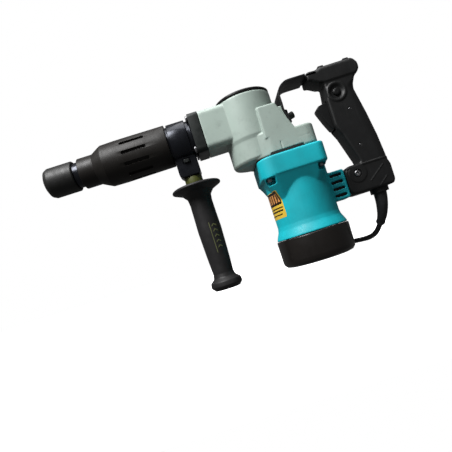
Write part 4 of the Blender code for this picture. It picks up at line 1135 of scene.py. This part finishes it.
def handle_shell(name, side):
    outline = dense(filleted(HANDLE_OUTLINE, 9.0, 4), 1.1)
    widths = round_widths(outline)
    ways = outline_ways(outline)
    inward = np.stack([-ways[:, 1], ways[:, 0]], 1)
    field = [outline]
    for offset in (0.12, 0.45, 1.0, 1.7):
        ring = outline + inward * offset
        gap, _ = edge_distance(ring, outline)
        field.append(ring[(gap > offset * 0.96) & is_inside(ring, outline)])
    grid = np.stack(np.meshgrid(np.arange(52, 126, 0.75), np.arange(67, 246, 0.75)), -1).reshape(-1, 2)
    gap, _ = edge_distance(grid, outline)
    field.append(grid[(gap > 2.2) & is_inside(grid, outline)])
    flat = [Vector(p) for p in np.concatenate(field)]
    rim = len(outline)
    borders = [(k, (k + 1) % rim) for k in range(rim)]
    spots, _, triangles, origins, _, _ = delaunay_2d_cdt(flat, borders, [], 1, 1e-5)
    at_rim = {}
    for k, sources in enumerate(origins):
        for source in sources:
            at_rim[source] = k
    heights = shell_height(np.array([tuple(p) for p in spots]), outline, widths, side < 0)
    points = [(p.x, side * h, p.y) for p, h in zip(spots, heights)]
    base = len(points)
    points += [(x, side * SEAM, z) for x, z in outline]
    faces = [tuple(t) for t in triangles]
    for k in range(rim):
        nxt = (k + 1) % rim
        faces.append((at_rim[k], at_rim[nxt], base + nxt, base + k))
    faces.append(tuple(range(base, base + rim)))
    shell = mesh_piece(name, points, faces)
    for start, end in HEELS:
        reach = sorted((side * SEAM, side * 9.0))
        join(shell, block("heel", (start, end), reach, (242.0, 248.6), 0.8, 0.9))
    collar = [
        (EXIT_X + 12.2 * math.cos(math.pi * k / 24), side * (SEAM + 12.2 * math.sin(math.pi * k / 24)))
        for k in range(25)
    ]
    join(shell, slab("gland_collar", collar, 61.5, 70.0, 0.6))
    for room, deep in ((GRIP_ROOM, 13.0), (ARM_ROOM, 13.6), (STRAP_ROOM, 20.0), (TRIGGER_ROOM, 9.6)):
        cut(shell, slab("cut_room", room, *sorted((-side, side * deep)), axis="Y"))
    cut(shell, rod("cut_gland", 9.6, 55.0, 75.0, (EXIT_X, 0, 0), UP_Z))
    return shell


for name, side in (("left", -1), ("right", 1)):
    shell = handle_shell(f"handle_{name}_half", side)
    if side < 0:
        cut(
            shell,
            rod("cut_button_hole", 5.3, 7.5, 20.0, (BUTTON.x, 0, BUTTON.z), NEAR_Y),
            rod("cut_screw_hole", 2.4, 10.0, 20.0, (HANDLE_SCREW.x, 0, HANDLE_SCREW.z), NEAR_Y),
        )
    shade(shell, 38)
    finished(shell, HANDLE_BLACK, "frame", "black_plastic", f"handle_shell_{name}")

for number, (x, z) in enumerate(SMALL_SCREWS, 1):
    tiny = turned(
        f"handle_small_screw_{number}",
        [(0, 10), (1.5, 10), (1.5, 15.0), (1.1, 15.5), (0, 15.6)],
        (x, 0, z),
        NEAR_Y,
        steps=32,
        fillet=0.25,
    )
    finished(tiny, SCREW_STEEL, "frame", "bright_steel")

screw_rim = -limits("handle_screw")[0].y
screw_middle = (HANDLE_SCREW.x, 0, HANDLE_SCREW.z)
screw = turned(
    "handle_screw_head",
    [
        (0, 12.0), (2.0, 12.0), (2.0, screw_rim - 2.4), (4.6, screw_rim - 2.4),
        (4.6, screw_rim - 1.6), (3.2, screw_rim - 0.1), (0, screw_rim),
    ],
    screw_middle,
    NEAR_Y,
    steps=64,
    fillet=0.5,
)
cut(screw, *cross_recess("cut_recess", screw_middle, NEAR_Y, screw_rim - 1.4, screw_rim + 1, 4.4, 1.0))
finished(screw, SCREW_STEEL, "frame", "bright_steel", "handle_screw")

button_face = -limits("lock_button")[0].y
button = turned(
    "lock_button_cap",
    [
        (0, button_face - 5.6), (4.9, button_face - 5.6), (4.9, button_face - 1.4),
        (4.0, button_face - 0.5), (2.4, button_face), (0, button_face - 0.1),
    ],
    (BUTTON.x, 0, BUTTON.z),
    NEAR_Y,
    TRIGGER_BLACK,
    64,
    0.8,
)
stand_in(button, "lock_button", "black_plastic", "lock_button")

PIVOT = (73.0, 164.0)
trigger_outline = [
    (-6.0, -2.4), (1.8, -2.8), (2.6, 1.6), (1.6, 33.5), (-5.6, 35.3), (-15.6, 33.1), (-18.6, 29.9),
    (-17.9, 26.7), (-12.0, 11.0),
]
trigger_outline = filleted([(PIVOT[0] + x, PIVOT[1] + z) for x, z in trigger_outline], 3.0, 5)
trigger = slab("trigger_lever", trigger_outline, -9.0, 9.0, axis="Y")
bevelled(trigger, 1.5, 5, 50)
join(trigger, rod("trunnion", 1.6, -11.4, 11.4, (PIVOT[0], 0, PIVOT[1]), FAR_Y))
shade(trigger)
finished(trigger, TRIGGER_BLACK, "trigger", "black_plastic", "trigger")


# Handle strap and its bolts


def strip(route, thickness):
    """A thin band's outline, half its thickness each side of an open route."""
    left = []
    right = []
    for k, spot in enumerate(route):
        before = route[max(k - 1, 0)]
        after = route[min(k + 1, len(route) - 1)]
        way = (after - before).normalized()
        side = Vector((-way.y, way.x)) * thickness / 2
        left.append(tuple(spot + side))
        right.append(tuple(spot - side))
    return left + right[::-1]


STRAP_HALF = limits("handle_strap")[1].y
strap_line = [
    (62.0, 239.3), (44.0, 239.3), (26.0, 239.3), (19.4, 237.6), (13.8, 233.6), (10.4, 228.6),
    (9.2, 223.0), (9.2, 213.0), (9.2, 203.4), (11.2, 196.6), (14.2, 185.0),
]
strap_route = [spot.xy for spot in spline_through([Vector((x, z, 0)) for x, z in strap_line], 1.5)]
strap = slab("handle_strap_band", strip(strap_route, 2.6), -STRAP_HALF, STRAP_HALF, axis="Y")
cut(
    strap,
    block("cut_strap_near", (50.0, 64.0), (-22.0, -13.6), (230.0, 250.0)),
    block("cut_strap_far", (50.0, 64.0), (13.6, 22.0), (230.0, 250.0)),
)
bevelled(strap, 0.5, 3, 50)
finished(strap, STRAP_STEEL, "frame", "black_steel", "handle_strap")

STRAP_BOLTS = (((9.9, 9.0, 206.8), (1, 0, 0), 8.0), ((11.9, -9.0, 194.4), (0.968, 0, 0.25), 9.0))
for number, (spot, direction, height) in enumerate(STRAP_BOLTS, 1):
    top = 1.7 + height
    bolt = turned(
        f"strap_bolt_{number}_head",
        [
            (0, -14.0), (2.4, -14.0), (2.4, 1.6), (5.4, 1.6), (5.4, 2.8), (4.7, 2.9),
            (4.7, top - 0.8), (4.1, top), (0, top),
        ],
        spot,
        direction,
        steps=48,
        fillet=0.4,
    )
    finished(bolt, FLANGE_STEEL, "frame", "black_steel", f"strap_bolt_{number}")


# Side handle

GRIP = middle("side_grip")
GRIP_TOP = limits("side_grip")[1].z
GRIP_END = limits("side_grip")[0].z
BAND_X = (-147.0, -122.0)
band = on_barrel(
    "clamp_band_ring",
    [(24.95, BAND_X[0]), (27.2, BAND_X[0]), (27.2, BAND_X[1]), (24.95, BAND_X[1])],
    BAND_STEEL,
    fillet=0.7,
)
stand_in(band, "clamp", "gloss_black", "clamp_band")
lug_outline = [
    (-146.4, 191.0), (-122.6, 191.0), (-119.4, 181.0), (-119.4, 162.5), (-122.0, 159.3),
    (-145.0, 159.3), (-148.6, 163.0), (-148.6, 181.0),
]
lug = slab("clamp_lug_block", filleted(lug_outline, 3.0, 3), -13.5, 13.5, axis="Y")
bevelled(lug, 1.6, 4, 50)
cut(
    lug,
    on_barrel("cut_band_bore", plain_profile(26.0, -150, -110), fillet=0),
    block("cut_bolt_seat", (-139.0, -128.2), (-20.0, -12.3), (175.6, 183.6), 0.0, 1.2),
)
shade(lug)
finished(lug, BAND_STEEL, "clamp", "gloss_black", "clamp_band")

BOLT = Vector((-133.6, 0, 179.6))
bolt = rod("clamp_bolt_hex", 2.4, -17.0, 17.0, BOLT, FAR_Y)
head_outline = rectangle((-137.4, -129.8), (177.2, 182.0), 1.4, 4)
join(bolt, slab("bolt_head", head_outline, -16.4, -12.6, 0.6, "Y"))
shade(bolt)
finished(bolt, FLANGE_STEEL, "clamp", "black_steel", "clamp_bolt")

collar_low, collar_high = (corner.z for corner in limits("clamp_collar"))
collar = turned(
    "clamp_collar_ring",
    [(4.4, collar_low), (12.2, collar_low), (12.2, collar_high), (4.4, collar_high)],
    (GRIP.x, 0, 0),
    UP_Z,
    OLIVE,
    96,
    0.8,
)
stand_in(collar, "clamp", "olive_plastic", "clamp_collar")


grip_profile = [
    (4.3, GRIP_TOP), (32.0, GRIP_TOP), (34.0, GRIP_TOP - 1.6), (34.0, GRIP_TOP - 3.8),
    (22.0, 137.0), (16.6, 130.5), (15.6, 122.0), (15.9, 103.0), (16.4, 84.0), (15.4, 52.0),
    (14.1, 22.0), (15.4, 16.5), (21.2, 11.6), (22.0, 5.0), (17.0, GRIP_END), (0, GRIP_END),
    (0, 20.6), (4.3, 20.6),
]
grip = turned("side_grip_sleeve", grip_profile, (GRIP.x, 0, 0), UP_Z, GRIP_RUBBER, 128, 3.0)
stand_in(grip, "grip", "rubber", "side_grip")


# Marks laid on the skins


def laid_on(name, target, outline, place, lift, paint, spacing=1.2):
    """A thin patch: a flat outline in its own (across, up) plane, dropped along rays onto a piece.

    place turns an (across, up) spot into a ray's (start, direction) in millimetres.
    """
    tree = BVHTree.FromObject(target, bpy.context.evaluated_depsgraph_get())
    rim = dense(outline, spacing)
    low, high = rim.min(axis=0), rim.max(axis=0)
    axes = [np.arange(a + spacing / 2, b, spacing) for a, b in zip(low, high)]
    grid = np.stack(np.meshgrid(*axes), -1).reshape(-1, 2)
    gap, _ = edge_distance(grid, rim)
    inner = grid[(gap > spacing * 0.4) & is_inside(grid, rim)]
    flat = [Vector(p) for p in np.concatenate([rim, inner])]
    borders = [(k, (k + 1) % len(rim)) for k in range(len(rim))]
    spots, _, triangles, _, _, _ = delaunay_2d_cdt(flat, borders, [], 1, 1e-5)
    points = []
    for level in (lift, -0.25):
        for spot in spots:
            start, way = place(*spot)
            hit, normal, _, _ = tree.ray_cast(start * MM, way)
            points.append(hit / MM + normal * level)
    count = len(spots)
    edges = [(triangle[k], triangle[(k + 1) % 3]) for triangle in triangles for k in range(3)]
    paired = set(edges)
    faces = [tuple(t) for t in triangles] + [tuple(k + count for k in reversed(t)) for t in triangles]
    for a, b in edges:
        if (b, a) not in paired:
            faces.append((b, a, a + count, b + count))
    return mesh_piece(name, points, faces, paint)


LABEL_TURN = math.radians(226)
LABEL_WAY = Vector((math.cos(LABEL_TURN), math.sin(LABEL_TURN), 0))
LABEL_SIDE = Vector((-LABEL_WAY.y, LABEL_WAY.x, 0))
LABEL_X = (-36.6, -1.4)
LABEL_Z = (67.4, 103.9)
LABEL_SPLIT = 85.5


def at_label(across, up):
    """Parallel rays onto the motor housing's side, where the label is."""
    return LABEL_WAY * 80 + LABEL_SIDE * across + Vector((0, 0, up)), -LABEL_WAY


label = laid_on("label_backing", motor, rectangle(LABEL_X, LABEL_Z, 2.0, 4), at_label, 0.10, LABEL_YELLOW)
stand_in(label, "frame", "teal_plastic")
label_fields = [("field", LABEL_BLACK, 0.15, (LABEL_X[0] + 0.7, LABEL_X[1] - 1.8), (LABEL_SPLIT, 103.2), 1.4)]
for number in range(6):
    left = LABEL_X[0] + 2.6 + number * 5.2
    label_fields.append((f"bar_{number + 1}", LABEL_ORANGE, 0.20, (left, left + 2.9), (88.5, 100.2), 0.5))
for number, (low, high, right) in enumerate(((80.4, 82.0, -2), (76.4, 78.4, -3), (71.6, 73.2, -6)), 1):
    across = (LABEL_X[0] + 2.5, LABEL_X[1] + right)
    label_fields.append((f"line_{number}", LABEL_BLACK, 0.15, across, (low, high), 0.0))
for field_name, paint, lift, across, up, corner in label_fields:
    mark = laid_on(f"label_{field_name}", motor, rectangle(across, up, corner, 4), at_label, lift, paint)
    stand_in(mark, "frame", "teal_plastic")


def at_grip_front(across, up):
    """Rays straight back, onto the grip's near side."""
    return Vector((GRIP.x + across, -60.0, up)), FAR_Y


GRIP_MARKS = [("line", rectangle((1.2, 2.2), (50.0, 92.0), 0.4, 4))]
for number in range(5):
    low = 56.0 + number * 7.4
    chevron = [
        (4.4, low), (7.4, low + 2.4), (10.4, low), (10.4, low + 1.7), (7.4, low + 4.1),
        (4.4, low + 1.7),
    ]
    GRIP_MARKS.append((f"chevron_{number + 1}", chevron))
for mark_name, outline in GRIP_MARKS:
    mark = laid_on(f"grip_{mark_name}", grip, outline, at_grip_front, 0.22, MARK_OLIVE, 0.8)
    stand_in(mark, "grip", "olive_plastic")


# CAD pieces that keep their shape get their finish by slot

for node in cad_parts.values():
    for place in node.material_slots:
        place.material = SLOT_PAINT[place.material.name.split(".")[0]]


# Floor and light

floor_mesh = bpy.data.meshes.new("floor")
floor_mesh.from_pydata([(-6, -6, 0), (6, -6, 0), (6, 6, 0), (-6, 6, 0)], [], [(0, 1, 2, 3)])
floor = bpy.data.objects.new("floor", floor_mesh)
scene.collection.objects.link(floor)
floor_paint = bpy.data.materials.new("pale_floor")
floor_paint.use_nodes = True
floor_surface = floor_paint.node_tree.nodes["Principled BSDF"].inputs
floor_surface["Base Color"].default_value = (0.92, 0.92, 0.92, 1)
floor_surface["Roughness"].default_value = 0.9
floor_surface["Specular IOR Level"].default_value = 0.0
floor_surface["Emission Color"].default_value = (1, 1, 1, 1)
floor_surface["Emission Strength"].default_value = 0.95
floor_mesh.materials.append(floor_paint)
floor.visible_diffuse = False
floor.visible_glossy = False

world = bpy.data.worlds.new("studio")
scene.world = world
world.use_nodes = True
tree = world.node_tree
background = tree.nodes["Background"]
background.inputs["Color"].default_value = (1, 1, 1, 1)
seen = tree.nodes.new("ShaderNodeLightPath")
strength = tree.nodes.new("ShaderNodeMapRange")
strength.inputs["To Min"].default_value = 0.13
strength.inputs["To Max"].default_value = 1.0
tree.links.new(seen.outputs["Is Camera Ray"], strength.inputs["Value"])
tree.links.new(strength.outputs["Result"], background.inputs["Strength"])


def area_light(name, spot, target, size, power):
    light = bpy.data.lights.new(name, "AREA")
    light.energy = power
    light.size = size
    lamp = bpy.data.objects.new(name, light)
    scene.collection.objects.link(lamp)
    lamp.location = spot
    lamp.rotation_euler = (Vector(target) - Vector(spot)).to_track_quat("-Z", "Y").to_euler()


area_light("key", (-0.62, -0.62, 1.15), (-0.10, 0.0, 0.15), 0.6, 32.0)
area_light("top_strip", (0.05, -0.10, 1.30), (-0.10, 0.0, 0.20), 0.8, 9.0)
scene.view_settings.view_transform = "Standard"
